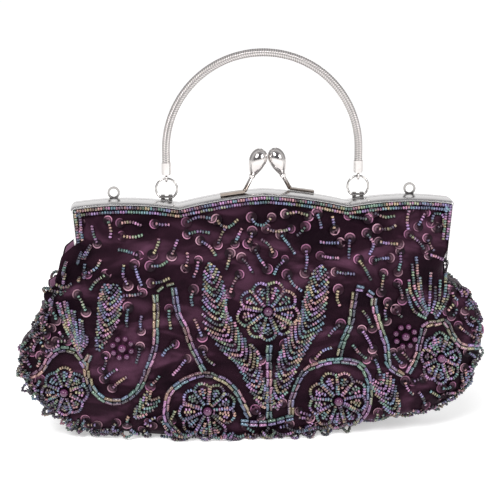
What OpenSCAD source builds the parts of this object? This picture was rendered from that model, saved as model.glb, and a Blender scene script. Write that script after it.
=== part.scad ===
// Beaded evening clutch: a satin pouch gathered into a two-part metal frame
// that a kiss-lock closes, with a snake-chain handle on two rings.
// X runs along the frame, Y from front to back and Z up from the base.

/* [Frame] */
// Length of the frame over its two side arms
frame_w = 233; // [200:1:260]
// Height of the frame's highest point above the base
frame_top_z = 153.4; // [140:0.1:170]
// Depth of one frame half, from the seam to its lip
half_d = 10.4; // [8:0.1:13]
// Thickness of the frame's sheet metal
metal_t = 0.9; // [0.7:0.05:1.2]
// Height of the pointed hump over the two hollows beside it
hump_h = 7.8; // [4:0.1:11]
// Distance of each hollow from the frame's end
hollow_inset = 65.5; // [60:0.5:72]
// Distance of each side crest from the frame's end
crest_inset = 30.5; // [24:0.5:38]
// Rise of each side crest over the hollow
crest_h = 3.1; // [1.5:0.1:5]
// Drop of the domed top from the seam to the lip
dome_h = 1.0; // [0.5:0.1:1.6]
// Height of the lip that shows in front
lip_h = 2.1; // [1.6:0.1:3]
// Height of the two walls that meet at the seam
seam_wall_h = 3; // [2:0.1:4]
// Radius of the frame's upper corners
corner_r = 3.6; // [2.5:0.1:5]
// Height of the hinge pins above the base
hinge_z = 104; // [98:0.5:112]
// How far each side arm leans in on its way down
arm_lean = 2.6; // [1:0.1:4]

/* [Pouch] */
// Widest reach of the pouch to the left of the middle
pouch_left_w = 148; // [134:0.5:160]
// Widest reach of the pouch to the right of the middle
pouch_right_w = 132; // [125:0.5:150]
// Half of the pouch's greatest depth
pouch_half_d = 22; // [18:0.5:27]
// Thickness of the beaded satin with its padding
satin_t = 1.6; // [1:0.1:2.5]
// Thickness of the lining
lining_t = 0.8; // [0.5:0.1:1.2]

/* [Kiss lock] */
// Radius of each clasp ball at its widest
ball_r = 5.4; // [4.5:0.1:6]
// Length of each clasp ball from its neck to its tip
ball_len = 17.2; // [14:0.1:19]
// Lean of each clasp ball towards the other
ball_lean = 20; // [16:1:24]
// Radius of each clasp stem
stem_r = 1.25; // [1:0.05:1.6]
// Height of the balls' necks over the frame's highest point
neck_h = 9; // [7:0.1:11]
// Length of the strip that holds each stem to the frame
strip_len = 15; // [10:0.5:18]
// Place of the plane between the two balls
kiss_x = 2.6; // [0:0.1:4]

/* [Handle] */
// Distance of each ring and handle leg from the frame's end
ring_inset = 58; // [54:0.1:60]
// Straight stretch of the handle between each ferrule's floor and the arch
leg_len = 12.8; // [8:0.1:35]
// Radius of the snake chain
chain_r = 2.5; // [2:0.1:3]
// Distance from one rib of the chain to the next
rib_pitch = 2.9; // [2.6:0.1:4]
// Length of each polished ferrule
ferrule_len = 6.6; // [5:0.1:9]
// Wall of each ferrule
ferrule_t = 0.4; // [0.3:0.05:0.6]
// Radius of the rings, to the middle of the wire
ring_r = 6.4; // [5.5:0.1:7]
// Radius of the ring wire
wire_r = 0.65; // [0.5:0.05:0.8]

/* [Chain loops] */
// Distance of each chain loop from the frame's end
loop_inset = 26; // [20:0.5:32]
// Radius of the hole in each chain loop
loop_hole_r = 2.45; // [2:0.05:2.8]
// Width of metal round the hole
loop_rim = 1.3; // [1:0.05:1.6]
// Thickness of each chain loop
loop_t = 1.2; // [1:0.05:1.5]
// How far each chain loop slides down into the frame
loop_travel = 6; // [5:0.1:6.5]

/* [Beadwork] */
// Diameter of one seed bead
bead_d = 1.9; // [1.4:0.1:2.2]
// Radius of the pearl in each large flower
pearl_r = 3; // [2.4:0.1:3.4]
// Radius of each large flower of bead rows
flower_r = 17; // [13:0.5:18]
// Half width of each double row of bugle beads
scroll_w = 2.1; // [1.5:0.1:2.4]
// Half width of each large leaf at its widest
leaf_w = 8; // [6:0.1:9]

/* [Hidden] */
$fn = 48;

nickel = "#d9d6d3";
plum = "#3d1230";
lining_plum = "#5a2a48";
oil_bead = "#5d7f74";
pearl_plum = "#6b2a5c";

// Swell of a wire where it bends
bend_swell = 1.08;
// Clearance of a turning or sliding fit
fit_gap = 0.06;
// Gap between a soft piece and its neighbour
soft_gap = 0.3;
// Gap between a piece and the face that it is soldered to
solder_gap = 0.1;
// Half of the gap between the two frame halves
seam_gap = 0.15;
// How far a cut runs past the faces that it opens
overrun = 1;

hollow_x = frame_w / 2 - hollow_inset;
crest_x = frame_w / 2 - crest_inset;
ring_x = frame_w / 2 - ring_inset;
loop_x = frame_w / 2 - loop_inset;

function mix(a, b, t) = a + (b - a) * t;
function unit(v) = v / norm(v);

// Frame outline. It drops from the pointed hump to a hollow on each side,
// and climbs again to a low crest before the corner.
hump_tilt_share = 0.4;
function hump_drop(s) = hump_h * (hump_tilt_share * s + (1 - hump_tilt_share) * s * s);
function crest_drop(x) = hump_h - crest_h
    + crest_h * pow((x - crest_x) / (crest_x - hollow_x), 2);
function top_drop(x) = abs(x) < hollow_x ? hump_drop(abs(x) / hollow_x) : crest_drop(abs(x));
function top_z(x) = frame_top_z - top_drop(x);
slope_step = 0.01;
function top_slope(x) = (top_z(x + slope_step) - top_z(x - slope_step)) / (2 * slope_step);

corner_x = frame_w / 2 - corner_r;
corner_z = top_z(corner_x) - corner_r;
hinge_x = frame_w / 2 - arm_lean;
ear_r = 4.6;
ear_step = 0.2;
arm_end_z = hinge_z + ear_r + overrun;
corner_angles = [66, 42, 18, 0];
top_steps = 18;

// Stations of the right half of the frame, each an outer point and its outward normal
arm_shares = [0.5, 1.1];
crest_steps_shares = [for (i = [1:top_steps / 2]) i / (top_steps / 2)];
function top_station(x) = [[x, top_z(x)], unit([-top_slope(x), 1])];
right_stations = concat(
    [[[0, frame_top_z], [0, 1]]],
    [for (i = [1:top_steps / 2 - 1]) top_station(hollow_x * i / (top_steps / 2))],
    [[[hollow_x, top_z(hollow_x)], [0, 1]]],
    [for (s = crest_steps_shares) top_station(mix(hollow_x, corner_x, s))],
    [for (a = corner_angles) [[corner_x, corner_z] + corner_r * [cos(a), sin(a)], [cos(a), sin(a)]]],
    [for (s = arm_shares)
        [[mix(frame_w / 2, hinge_x, s), mix(corner_z, arm_end_z, s)], [1, 0]]]);
function mirrored(station) = [[-station[0].x, station[0].y], [-station[1].x, station[1].y]];
frame_stations = concat(
    [for (i = [len(right_stations) - 1:-1:1]) mirrored(right_stations[i])],
    right_stations);

// Channel section of a frame half as [distance from the seam plane, depth under the outer face]
channel = [
    [seam_gap, 0], [half_d * 0.45, dome_h * 0.1], [half_d * 0.78, dome_h * 0.38],
    [half_d * 0.94, dome_h * 0.75], [half_d, dome_h * 1.3], [half_d, lip_h],
    [half_d - metal_t, lip_h], [half_d - metal_t, dome_h * 0.9 + metal_t * 0.6],
    [half_d * 0.55, dome_h * 0.2 + metal_t], [seam_gap + metal_t, metal_t],
    [seam_gap + metal_t, seam_wall_h], [seam_gap, seam_wall_h]];

// Sweeps a closed section along the stations. side is -1 for the front and 1 for the rear
module swept(stations, section, side) {
    n = len(section);
    points = [for (s = stations, p = section)
        [s[0].x - s[1].x * p.y, side * p.x, s[0].y - s[1].y * p.y]];
    sides = [for (i = [0:len(stations) - 2], j = [0:n - 1])
        let (k = (j + 1) % n) [i * n + j, i * n + k, (i + 1) * n + k, (i + 1) * n + j]];
    first = [for (j = [n - 1:-1:0]) j];
    last = [for (j = [0:n - 1]) (len(stations) - 1) * n + j];
    faces = concat(sides, [first, last]);
    polyhedron(points, side > 0 ? faces : [for (f = faces) [for (i = [len(f) - 1:-1:0]) f[i]]],
        convexity = 10);
}

// Flat ear of a side arm, in the plane of the hinge pin's cross-section
rivet_r = 1.3;
rivet_head_r = 2.5;
rivet_head_t = 0.8;
ear_lap = 2.5;
module ear_plate(side) {
    rotate([90, 0, 90]) linear_extrude(metal_t) difference() {
        union() {
            circle(ear_r);
            polygon([[side * half_d * 0.96, arm_end_z - hinge_z + ear_lap],
                [side * (seam_gap + metal_t / 2), arm_end_z - hinge_z + ear_lap],
                [side * (seam_gap + metal_t / 2), 0],
                [side * ear_r * 0.7, -ear_r * 0.7],
                [side * half_d * 0.9, arm_end_z - hinge_z - ear_lap / 4]]);
        }
        circle(rivet_r + fit_gap);
    }
}
// The front ear lies in the arm's own wall, and the rear ear beside it, one step further in
ear_inset = 0.05;
front_ear_x = hinge_x - metal_t - ear_inset;
rear_ear_x = front_ear_x - ear_step - metal_t;

module frame_half(side) {
    ear_x = side < 0 ? front_ear_x : rear_ear_x;
    difference() {
        swept(frame_stations, channel, side);
        translate([-frame_w, -half_d - overrun, 0]) cube([2 * frame_w, 2 * (half_d + overrun), arm_end_z]);
    }
    for (end = [0, 1]) mirror([end, 0, 0]) {
        translate([ear_x, 0, hinge_z]) ear_plate(side);
        if (side > 0)
            translate([rear_ear_x + metal_t / 2, seam_gap + metal_t * 1.5, arm_end_z + ear_lap / 4])
                cube([hinge_x - rear_ear_x - metal_t, half_d * 0.6, ear_lap * 0.6]);
    }
}
// Slots in the rear half that the chain loops slide through
loop_y = half_d * 0.42;
slot_gap = 0.3;
loop_outer_r = loop_hole_r + loop_rim;
slot_w = 2 * (loop_outer_r + slot_gap);
module loop_slots() {
    for (s = [-1, 1])
        translate([s * loop_x - slot_w / 2, loop_y - loop_t / 2 - slot_gap, top_z(loop_x) - seam_wall_h])
            cube([slot_w, loop_t + 2 * slot_gap, seam_wall_h + overrun]);
}
module rear_frame() {
    color(nickel) difference() {
        frame_half(1);
        loop_slots();
    }
}
module front_frame() {
    color(nickel) frame_half(-1);
}
module hinge_rivets() {
    color(nickel) for (end = [0, 1]) mirror([end, 0, 0]) translate([0, 0, hinge_z]) rotate([0, 90, 0]) {
        translate([0, 0, rear_ear_x - fit_gap - rivet_head_t]) {
            cylinder(r = rivet_r, h = hinge_x - rear_ear_x + 2 * (rivet_head_t + fit_gap));
            cylinder(r1 = rivet_head_r * 0.7, r2 = rivet_head_r, h = rivet_head_t);
        }
        translate([0, 0, hinge_x + fit_gap])
            cylinder(r1 = rivet_head_r, r2 = rivet_head_r * 0.7, h = rivet_head_t);
    }
}

// Pouch. Each row is a level and the pouch's form there: share of the height, of the
// reach to the left, of the reach to the right and of the depth
body_shares = [
    [0, 0.385, 0.28, 0.72], [0.026, 0.73, 0.41, 0.84], [0.053, 0.804, 0.53, 0.9],
    [0.083, 0.845, 0.674, 0.935], [0.109, 0.882, 0.784, 0.955], [0.158, 0.919, 0.871, 0.98],
    [0.212, 0.961, 0.937, 0.995], [0.28, 0.993, 0.973, 1], [0.36, 1, 0.996, 1],
    [0.43, 0.98, 1, 1], [0.476, 0.946, 1, 0.99], [0.576, 0.905, 0.96, 0.95],
    [0.635, 0.868, 0.928, 0.92]];
// Rows beside the hinge ears and then between the side arms: height and depth
hinge_shares = [[0.69, 0.86], [0.755, 0.785]];
arm_row_shares = [[0.8, 0.73], [0.89, 0.6]];
mouth_half_d = half_d - metal_t - soft_gap;
mouth_half_w = frame_w / 2 - metal_t - soft_gap;
hinge_half_w = rear_ear_x - rivet_head_t - soft_gap;
// Height of the fabric's upper edge under the frame's top plate
function fabric_top_z(x) = top_z(x) - dome_h - metal_t - soft_gap;
fabric_corner_z = fabric_top_z(mouth_half_w);
// The body's rim is level. Above it the fabric takes on the frame's outline
rim_share = body_shares[len(body_shares) - 1][0];
function outline_share(v) = max(0, (v - rim_share) / (1 - rim_share));
function squareness(v) = mix(2.6, 7, v * v);

// One level as [height share, reach left, reach right, half depth]
body_levels = [for (r = body_shares) [r[0], r[1] * pouch_left_w, r[2] * pouch_right_w, r[3] * pouch_half_d]];
function arm_level(v, depth) =
    let (w = mouth_half_w - arm_lean * (fabric_corner_z * (1 - v)) / (corner_z - arm_end_z))
    [v, w, w, depth];
neck_levels = concat(
    [for (r = hinge_shares) [r[0], hinge_half_w, hinge_half_w, r[1] * pouch_half_d]],
    [for (r = arm_row_shares) arm_level(r[0], r[1] * pouch_half_d)],
    [arm_level(1, mouth_half_d)]);

// Point of the fabric at a level. turn runs from -90 at the left to 90 at the right,
// side is -1 in front and 1 behind, and inset is the depth under the outer face
function skin(level, turn, side, inset) =
    let (s = sin(turn), n = squareness(level[0]),
        reach = (s < 0 ? level[1] : level[2]) - inset,
        rise = outline_share(level[0]) * (fabric_top_z(s * mouth_half_w) - fabric_corner_z))
    [s * reach,
        side * (level[3] - inset) * pow(max(0, 1 - pow(abs(s), n)), 1 / n),
        mix(inset, fabric_corner_z, level[0]) + rise];

// Closed loop of turns round the pouch: along the front and back along the rear
function loop_turns(steps) = concat(
    [for (i = [0:steps - 1]) [-90 + 180 * i / steps, -1]],
    [for (i = [0:steps - 1]) [90 - 180 * i / steps, 1]]);

// Open bag between two insets, closed at the base
module bag_shell(levels, steps, outer, inner) {
    turns = loop_turns(steps);
    n = len(turns);
    m = len(levels);
    function ring(inset) = [for (l = levels, t = turns) skin(l, t[0], t[1], inset)];
    points = concat(ring(outer), ring(inner));
    outside = [for (i = [0:m - 2], j = [0:n - 1])
        let (k = (j + 1) % n) [i * n + j, (i + 1) * n + j, (i + 1) * n + k, i * n + k]];
    inside = [for (f = outside) [for (i = [3:-1:0]) f[i] + m * n]];
    rim = [for (j = [0:n - 1]) let (k = (j + 1) % n, a = (m - 1) * n)
        [a + j, a + j + m * n, a + k + m * n, a + k]];
    base = [for (j = [0:n - 1]) j];
    floor = [for (j = [n - 1:-1:0]) j + m * n];
    polyhedron(points, concat(outside, inside, rim, [base, floor]), convexity = 10);
}

// Curved panel of one side between two insets. Its edges lie in the channels of the side arms
seam_edge_y = seam_gap + metal_t + soft_gap;
module panel_shell(levels, steps, side, outer, inner) {
    turns = [for (i = [0:steps]) -90 + 180 * i / steps];
    n = steps + 1;
    m = len(levels);
    function face(inset) = [for (l = levels, t = turns)
        let (p = skin(l, t, side, inset), seam = l[0] < hinge_shares[1][0] ? seam_gap : seam_edge_y)
        [p.x, side * max(abs(p.y), seam), p.z]];
    points = concat(face(outer), face(inner));
    outside = [for (i = [0:m - 2], j = [0:n - 2])
        [i * n + j, (i + 1) * n + j, (i + 1) * n + j + 1, i * n + j + 1]];
    inside = [for (f = outside) [for (i = [3:-1:0]) f[i] + m * n]];
    low = [for (j = [0:n - 2]) [j, j + 1, j + 1 + m * n, j + m * n]];
    high = [for (f = low) [for (i = [3:-1:0]) f[i] + (m - 1) * n]];
    left = [for (i = [0:m - 2]) [i * n, i * n + m * n, (i + 1) * n + m * n, (i + 1) * n]];
    right = [for (f = left) [for (i = [3:-1:0]) f[i] + n - 1]];
    faces = concat(outside, inside, low, high, left, right);
    polyhedron(points, side < 0 ? faces : [for (f = faces) [for (i = [3:-1:0]) f[i]]],
        convexity = 10);
}
// The panels start one soft gap above the rim of the pouch's body
function lifted(level) = [level[0] + soft_gap / frame_top_z, level[1], level[2], level[3]];
panel_levels = concat([lifted(body_levels[len(body_levels) - 1])], neck_levels);
body_steps = 18;
panel_steps = 28;
module pouch_body() {
    color(plum) bag_shell(body_levels, body_steps, 0, satin_t);
}
module pouch_front_panel() {
    color(plum) panel_shell(panel_levels, panel_steps, -1, 0, satin_t);
}
module pouch_rear_panel() {
    color(plum) panel_shell(panel_levels, panel_steps, 1, 0, satin_t);
}
module lining() {
    color(lining_plum)
        bag_shell(body_levels, body_steps, satin_t + soft_gap, satin_t + soft_gap + lining_t);
}

// Two rows of seed beads under the lip, as one double rope
edging_proud = 0.7;
edging_in = mouth_half_d + soft_gap + edging_proud;
edging_top = lip_h + soft_gap / 3;
edging_shares = [[0, 0], [0.75, 0], [1, 0.25], [0.8, 0.5], [1, 0.75], [0.75, 1], [0, 1]];
edging = [for (p = edging_shares)
    [edging_in + bead_d * (p.x + 0.25 * p.y), edging_top + 2 * bead_d * p.y]];
edging_stations = [for (i = [1:len(frame_stations) - 2]) frame_stations[i]];
module bead_edging_front() {
    color(oil_bead) swept(edging_stations, edging, -1);
}
module bead_edging_rear() {
    color(oil_bead) swept(edging_stations, edging, 1);
}

// Round rod from one point to another
module rod(from, to, r) {
    d = to - from;
    translate(from) rotate([0, acos(d.z / norm(d)), atan2(d.y, d.x)]) cylinder(r = r, h = norm(d));
}

// Kiss lock. The left half stands on the front frame and the right half on the rear one
strip_d = 4.2;
strip_t = 1.5;
collar_h = 1.4;
collar_r = 2;
ball_y = 1.2;
kiss_gap = 0.1;
strip_y = half_d * 0.5;
neck_z = frame_top_z + neck_h;
// Largest reach of a leaning ball to the side of its neck
widest_share = 0.6;
ball_neck_r = 1.7;
function ball_radius(a) = a < widest_share
    ? mix(ball_neck_r, ball_r, sin(90 * a / widest_share))
    : ball_r * sqrt(max(0, 1 - pow((a - widest_share) / (1 - widest_share), 2)));
ball_rows = 24;
ball_profile = [for (i = [0:ball_rows]) let (a = i / ball_rows) [ball_radius(a), ball_len * a]];
ball_reach = max([for (p = ball_profile) p.y * sin(ball_lean) + p.x * cos(ball_lean)]);
neck_dx = ball_reach + kiss_gap;
foot_dx = neck_dx + neck_h * 0.52;
// side is -1 for the left half, in front, and 1 for the right half, behind
function neck_point(side) = [kiss_x + side * neck_dx, side * ball_y, neck_z];
// Middle of the strip's underside, where it lies along the frame
function strip_point(side) = let (x = kiss_x + side * (foot_dx + strip_len / 2))
    [x, side * strip_y, top_z(x) + solder_gap];
function foot_point(side) = let (p = strip_point(side))
    [p.x - side * strip_len / 2, p.y,
        p.z + stem_r * bend_swell - side * top_slope(p.x) * strip_len / 2];
module on_neck(side) {
    translate(neck_point(side)) rotate([0, -side * ball_lean, 0]) children();
}
module clasp_arm(side) {
    foot = foot_point(side);
    strip = strip_point(side);
    color(nickel) {
        translate(strip) rotate([0, -atan(top_slope(strip.x)), 0])
            translate([-strip_len / 2, -strip_d / 2, 0]) cube([strip_len, strip_d, strip_t]);
        translate(foot) sphere(stem_r * bend_swell);
        rod(foot, neck_point(side) - collar_h * [-side * sin(ball_lean), 0, cos(ball_lean)], stem_r);
        on_neck(side) translate([0, 0, -collar_h]) sphere(stem_r * bend_swell);
    }
}
module clasp_collar(side) {
    color(nickel) on_neck(side) translate([0, 0, -collar_h]) difference() {
        cylinder(r1 = collar_r * 0.85, r2 = collar_r, h = collar_h);
        sphere(stem_r * 1.2);
    }
}
module clasp_ball(side) {
    color(nickel) on_neck(side) rotate_extrude()
        polygon(concat([[0, 0]], ball_profile));
}
module clasp_arm_left() { clasp_arm(-1); }
module clasp_arm_right() { clasp_arm(1); }
module clasp_collar_left() { clasp_collar(-1); }
module clasp_collar_right() { clasp_collar(1); }
module clasp_ball_left() { clasp_ball(-1); }
module clasp_ball_right() { clasp_ball(1); }

// Rings. Each is a round wire with a straight stretch that turns in its staple
ring_y = half_d * 0.4;
flat_half_angle = 40;
staple_h = 2.1;
staple_foot_t = 0.6;
sleeve_r = 1.45;
sleeve_len = 2.4;
sleeve_dx = 2.3;
ring_pin_z = top_z(ring_x) + staple_h;
ring_mid_z = ring_pin_z + ring_r * cos(flat_half_angle);
ring_top_z = ring_mid_z + ring_r;
flat_half_len = ring_r * sin(flat_half_angle);
module ring(side) {
    color(nickel) translate([side * ring_x, ring_y, ring_mid_z]) {
        rotate([90, 0, 0]) rotate([0, 0, -90 + flat_half_angle])
            rotate_extrude(angle = 360 - 2 * flat_half_angle) translate([ring_r, 0]) circle(wire_r);
        translate([0, 0, -ring_r * cos(flat_half_angle)]) {
            rotate([0, 90, 0]) cylinder(r = wire_r, h = 2 * flat_half_len, center = true);
            for (s = [-1, 1]) translate([s * flat_half_len, 0, 0]) sphere(wire_r * bend_swell);
        }
    }
}
module ring_staple(side) {
    foot_w = 2 * sleeve_dx + sleeve_len;
    color(nickel) translate([side * ring_x, ring_y, 0]) difference() {
        union() {
            for (s = [-1, 1]) translate([s * sleeve_dx, 0, ring_pin_z]) {
                low = top_z(side * ring_x + s * sleeve_dx) + solder_gap + staple_foot_t / 2;
                rotate([0, 90, 0]) cylinder(r = sleeve_r, h = sleeve_len, center = true);
                translate([-sleeve_len * 0.4, -sleeve_r * 0.6, low - ring_pin_z])
                    cube([sleeve_len * 0.8, sleeve_r * 1.2, ring_pin_z - low]);
            }
            translate([0, 0, top_z(ring_x) + solder_gap])
                rotate([0, -atan(top_slope(side * ring_x)), 0])
                    translate([-foot_w / 2, -sleeve_r, 0]) cube([foot_w, 2 * sleeve_r, staple_foot_t]);
        }
        translate([0, 0, ring_pin_z]) rotate([0, 90, 0])
            cylinder(r = wire_r + fit_gap, h = foot_w + overrun, center = true);
    }
}
module ring_left() { ring(-1); }
module ring_right() { ring(1); }
module ring_staple_left() { ring_staple(-1); }
module ring_staple_right() { ring_staple(1); }

// Handle. An eyelet hangs on each ring and carries a ferrule that grips the chain's end
eye_gap = 0.35;
eye_wire_r = 0.75;
eye_r = wire_r + eye_gap + eye_wire_r;
eye_bore_r = eye_r - eye_wire_r * 0.85;
flange_h = 0.8;
ferrule_r = chain_r + fit_gap + ferrule_t;
flange_z = ring_top_z + eye_r + eye_wire_r * 0.6;
ferrule_z = flange_z + flange_h;
ferrule_floor = 1;
chain_z = ferrule_z + ferrule_floor;
arch_r = ring_x;
arch_z = chain_z + leg_len;
module eyelet(side) {
    color(nickel) translate([side * ring_x, ring_y, 0]) {
        translate([0, 0, ring_top_z]) rotate([0, 90, 0]) difference() {
            rotate_extrude() translate([eye_r, 0]) circle(eye_wire_r);
            cylinder(r = eye_bore_r, h = 2 * eye_wire_r + overrun, center = true);
        }
        translate([0, 0, flange_z]) cylinder(r = ferrule_r * 0.92, h = flange_h);
    }
}
module ferrule(side) {
    color(nickel) translate([side * ring_x, ring_y, ferrule_z]) difference() {
        cylinder(r = ferrule_r, h = ferrule_len);
        translate([0, 0, ferrule_floor]) cylinder(r = chain_r + fit_gap, h = ferrule_len);
    }
}
module eyelet_left() { eyelet(-1); }
module eyelet_right() { eyelet(1); }
module ferrule_left() { ferrule(-1); }
module ferrule_right() { ferrule(1); }

// Snake chain: a tube of ribs that runs up one leg, over the arch and down the other
chain_len = 2 * leg_len + PI * arch_r;
ribs = floor(chain_len / rib_pitch);
rib_groove_share = 0.84;
chain_sides = 8;
// Middle line of the chain at a distance along it: [place, direction across the tube]
function chain_at(s) =
    s < leg_len ? [[-arch_r, chain_z + s], [-1, 0]]
    : s > chain_len - leg_len ? [[arch_r, chain_z + chain_len - s], [1, 0]]
    : let (a = 180 - (s - leg_len) / arch_r * 180 / PI)
        [[arch_r * cos(a), arch_z + arch_r * sin(a)], [cos(a), sin(a)]];
chain_rings = concat(
    [for (i = [0:ribs - 1], part = [0, 0.5])
        [chain_len * (i + part) / ribs, part > 0 ? 1 : rib_groove_share]],
    [[chain_len, rib_groove_share]]);
module handle_chain() {
    n = chain_sides;
    points = [for (r = chain_rings, j = [0:n - 1])
        let (c = chain_at(r[0]), a = 360 * (j + 0.5) / n, w = chain_r * r[1])
        [c[0].x + w * cos(a) * c[1].x, ring_y + w * sin(a), c[0].y + w * cos(a) * c[1].y]];
    m = len(chain_rings);
    sides = [for (i = [0:m - 2], j = [0:n - 1])
        let (k = (j + 1) % n) [i * n + j, i * n + k, (i + 1) * n + k, (i + 1) * n + j]];
    first = [for (j = [n - 1:-1:0]) j];
    last = [for (j = [0:n - 1]) (m - 1) * n + j];
    color(nickel) polyhedron(points, concat(sides, [first, last]), convexity = 10);
}

// Chain loops. Each slides in a guide under its slot, and its foot stops it at both ends
loop_foot_w = 10.4;
loop_foot_h = 1.5;
loop_neck_w = 5;
loop_sunk = 0.5;
loop_eye_z = top_z(loop_x) + loop_outer_r - loop_sunk;
guide_t = 0.8;
guide_gap = 0.2;
loop_foot_z = top_z(loop_x) - dome_h * 0.4 - metal_t - guide_t - guide_gap - solder_gap;
module chain_loop(side) {
    color(nickel) translate([side * loop_x, loop_y, 0]) difference() {
        union() {
            translate([0, 0, loop_eye_z]) rotate([90, 0, 0])
                cylinder(r = loop_outer_r, h = loop_t, center = true);
            translate([-loop_neck_w / 2, -loop_t / 2, loop_foot_z - loop_foot_h / 2])
                cube([loop_neck_w, loop_t, loop_eye_z - loop_hole_r - loop_foot_z + loop_foot_h / 2]);
            translate([-loop_foot_w / 2, -loop_t / 2, loop_foot_z - loop_foot_h])
                cube([loop_foot_w, loop_t, loop_foot_h]);
        }
        translate([0, 0, loop_eye_z]) rotate([90, 0, 0])
            cylinder(r = loop_hole_r, h = loop_t + overrun, center = true);
    }
}
// Guide: a bent strap under the top plate, with a slot in its head for the loop
guide_w = loop_foot_w + 2 * (guide_gap + guide_t);
guide_d = 4;
guide_head_z = loop_foot_z + guide_gap;
guide_drop = loop_travel + loop_foot_h + 2 * guide_gap;
module loop_guide(side) {
    color(nickel) translate([side * loop_x, loop_y, 0]) difference() {
        translate([-guide_w / 2, -guide_d / 2, guide_head_z - guide_drop - guide_t])
            cube([guide_w, guide_d, guide_drop + 2 * guide_t]);
        translate([-guide_w / 2 + guide_t, -guide_d / 2 - overrun, guide_head_z - guide_drop])
            cube([guide_w - 2 * guide_t, guide_d + 2 * overrun, guide_drop]);
        translate([-slot_w / 2, -loop_t / 2 - slot_gap, guide_head_z - overrun])
            cube([slot_w, loop_t + 2 * slot_gap, guide_t + 2 * overrun]);
    }
}
module chain_loop_left() { chain_loop(-1); }
module chain_loop_right() { chain_loop(1); }
module loop_guide_left() { loop_guide(-1); }
module loop_guide_right() { loop_guide(1); }

// Beadwork. It lies on the fabric in front and, mirrored, behind. Places are shares of the
// pouch's widths to the left (negative) or right of the middle, and of the frame's height.
fabric_levels = concat(body_levels, neck_levels);
left_reaches = [for (l = fabric_levels) [l[0], l[1]]];
right_reaches = [for (l = fabric_levels) [l[0], l[2]]];
depths = [for (l = fabric_levels) [l[0], l[3]]];
function fabric_reach(x, v) = lookup(v, x < 0 ? left_reaches : right_reaches);
level_tries = 4;
function fabric_level(x, z, v, tries) = tries == 0 ? v
    : let (s = min(1, abs(x) / fabric_reach(x, v)),
        rise = outline_share(v) * (fabric_top_z(s * mouth_half_w) - fabric_corner_z))
    fabric_level(x, z, (z - rise) / fabric_corner_z, tries - 1);
// Depth of the front face at a place
function fabric_depth(x, z) =
    let (v = fabric_level(x, z, z / fabric_corner_z, level_tries), n = squareness(v),
        s = min(1, abs(x) / fabric_reach(x, v)))
    lookup(v, depths) * pow(max(0, 1 - pow(s, n)), 1 / n);
// Outward direction of the front face
slope_reach = 0.5;
function fabric_normal(x, z) =
    let (dx = fabric_depth(x + slope_reach, z) - fabric_depth(x - slope_reach, z),
        dz = fabric_depth(x, z + slope_reach) - fabric_depth(x, z - slope_reach))
    unit([-dx, -2 * slope_reach, -dz]);
// Point at a height over the fabric
function on_fabric(p, height) =
    [p.x, height / fabric_normal(p.x, p.y).y - fabric_depth(p.x, p.y), p.y];
function spot(share) = [share.x * (share.x < 0 ? pouch_left_w : pouch_right_w), share.y * frame_top_z];
module front_and_rear() {
    children();
    mirror([0, 1, 0]) children();
}

// Smooth line through spots, and the direction across it
bend_steps = 2;
function knot(p, i) = p[max(0, min(len(p) - 1, i))];
function bend(p, i, t) =
    let (a = knot(p, i - 1), b = knot(p, i), c = knot(p, i + 1), d = knot(p, i + 2))
    b + (c - a) * t / 2 + (2 * a - 5 * b + 4 * c - d) * t * t / 2 + (3 * b - a - 3 * c + d) * t * t * t / 2;
function line_through(p) = concat(
    [for (i = [0:len(p) - 2], k = [0:bend_steps - 1]) bend(p, i, k / bend_steps)],
    [p[len(p) - 1]]);
function across(line, i) =
    let (d = unit(knot(line, i + 1) - knot(line, i - 1))) [-d.y, d.x];

// Sweeps a section of [share of the half width, height over the fabric] along a line of beads
bead_gap = 0.5;
module bead_band(line, half_widths, section) {
    n = len(section);
    m = len(line);
    points = [for (i = [0:m - 1], q = section)
        on_fabric(line[i] + across(line, i) * lookup(i / (m - 1), half_widths) * q.x, q.y)];
    sides = [for (i = [0:m - 2], j = [0:n - 1])
        let (k = (j + 1) % n) [i * n + j, (i + 1) * n + j, (i + 1) * n + k, i * n + k]];
    first = [for (j = [0:n - 1]) j];
    last = [for (j = [n - 1:-1:0]) (m - 1) * n + j];
    polyhedron(points, concat(sides, [first, last]), convexity = 10);
}

// Scrolls of bugle beads in double rows
scroll_shares = [
    [[-0.74, 0.352], [-0.79, 0.388], [-0.85, 0.385], [-0.905, 0.33], [-0.96, 0.285]],
    [[-0.72, 0.325], [-0.7, 0.225], [-0.627, 0.177], [-0.518, 0.241], [-0.453, 0.411], [-0.446, 0.583]],
    [[-0.36, 0.58], [-0.35, 0.52], [-0.311, 0.419], [-0.262, 0.32]],
    [[-0.385, 0.075], [-0.414, 0.136], [-0.398, 0.21], [-0.344, 0.259], [-0.259, 0.286],
        [-0.165, 0.255], [-0.12, 0.208], [-0.08, 0.12]],
    [[0.118, 0.12], [0.12, 0.171], [0.17, 0.28], [0.244, 0.317], [0.338, 0.333], [0.43, 0.314],
        [0.483, 0.2], [0.468, 0.103]],
    [[0.338, 0.365], [0.388, 0.48], [0.405, 0.585]],
    [[0.495, 0.585], [0.523, 0.476], [0.574, 0.303], [0.63, 0.26]],
    [[0.672, 0.275], [0.714, 0.391], [0.764, 0.472], [0.839, 0.47], [0.925, 0.366]],
    [[0.014, 0.405], [0.014, 0.255], [0.014, 0.12]],
    [[-0.085, 0.079], [0.015, 0.073], [0.115, 0.085]]];
scroll_h = 1.8;
scroll_section = [[-1, bead_gap], [1, bead_gap], [1, bead_gap + scroll_h], [-1, bead_gap + scroll_h]];
module bead_scrolls() {
    color(oil_bead) front_and_rear() for (shares = scroll_shares)
        bead_band(line_through([for (q = shares) spot(q)]), [[0, scroll_w]], scroll_section);
}

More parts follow.
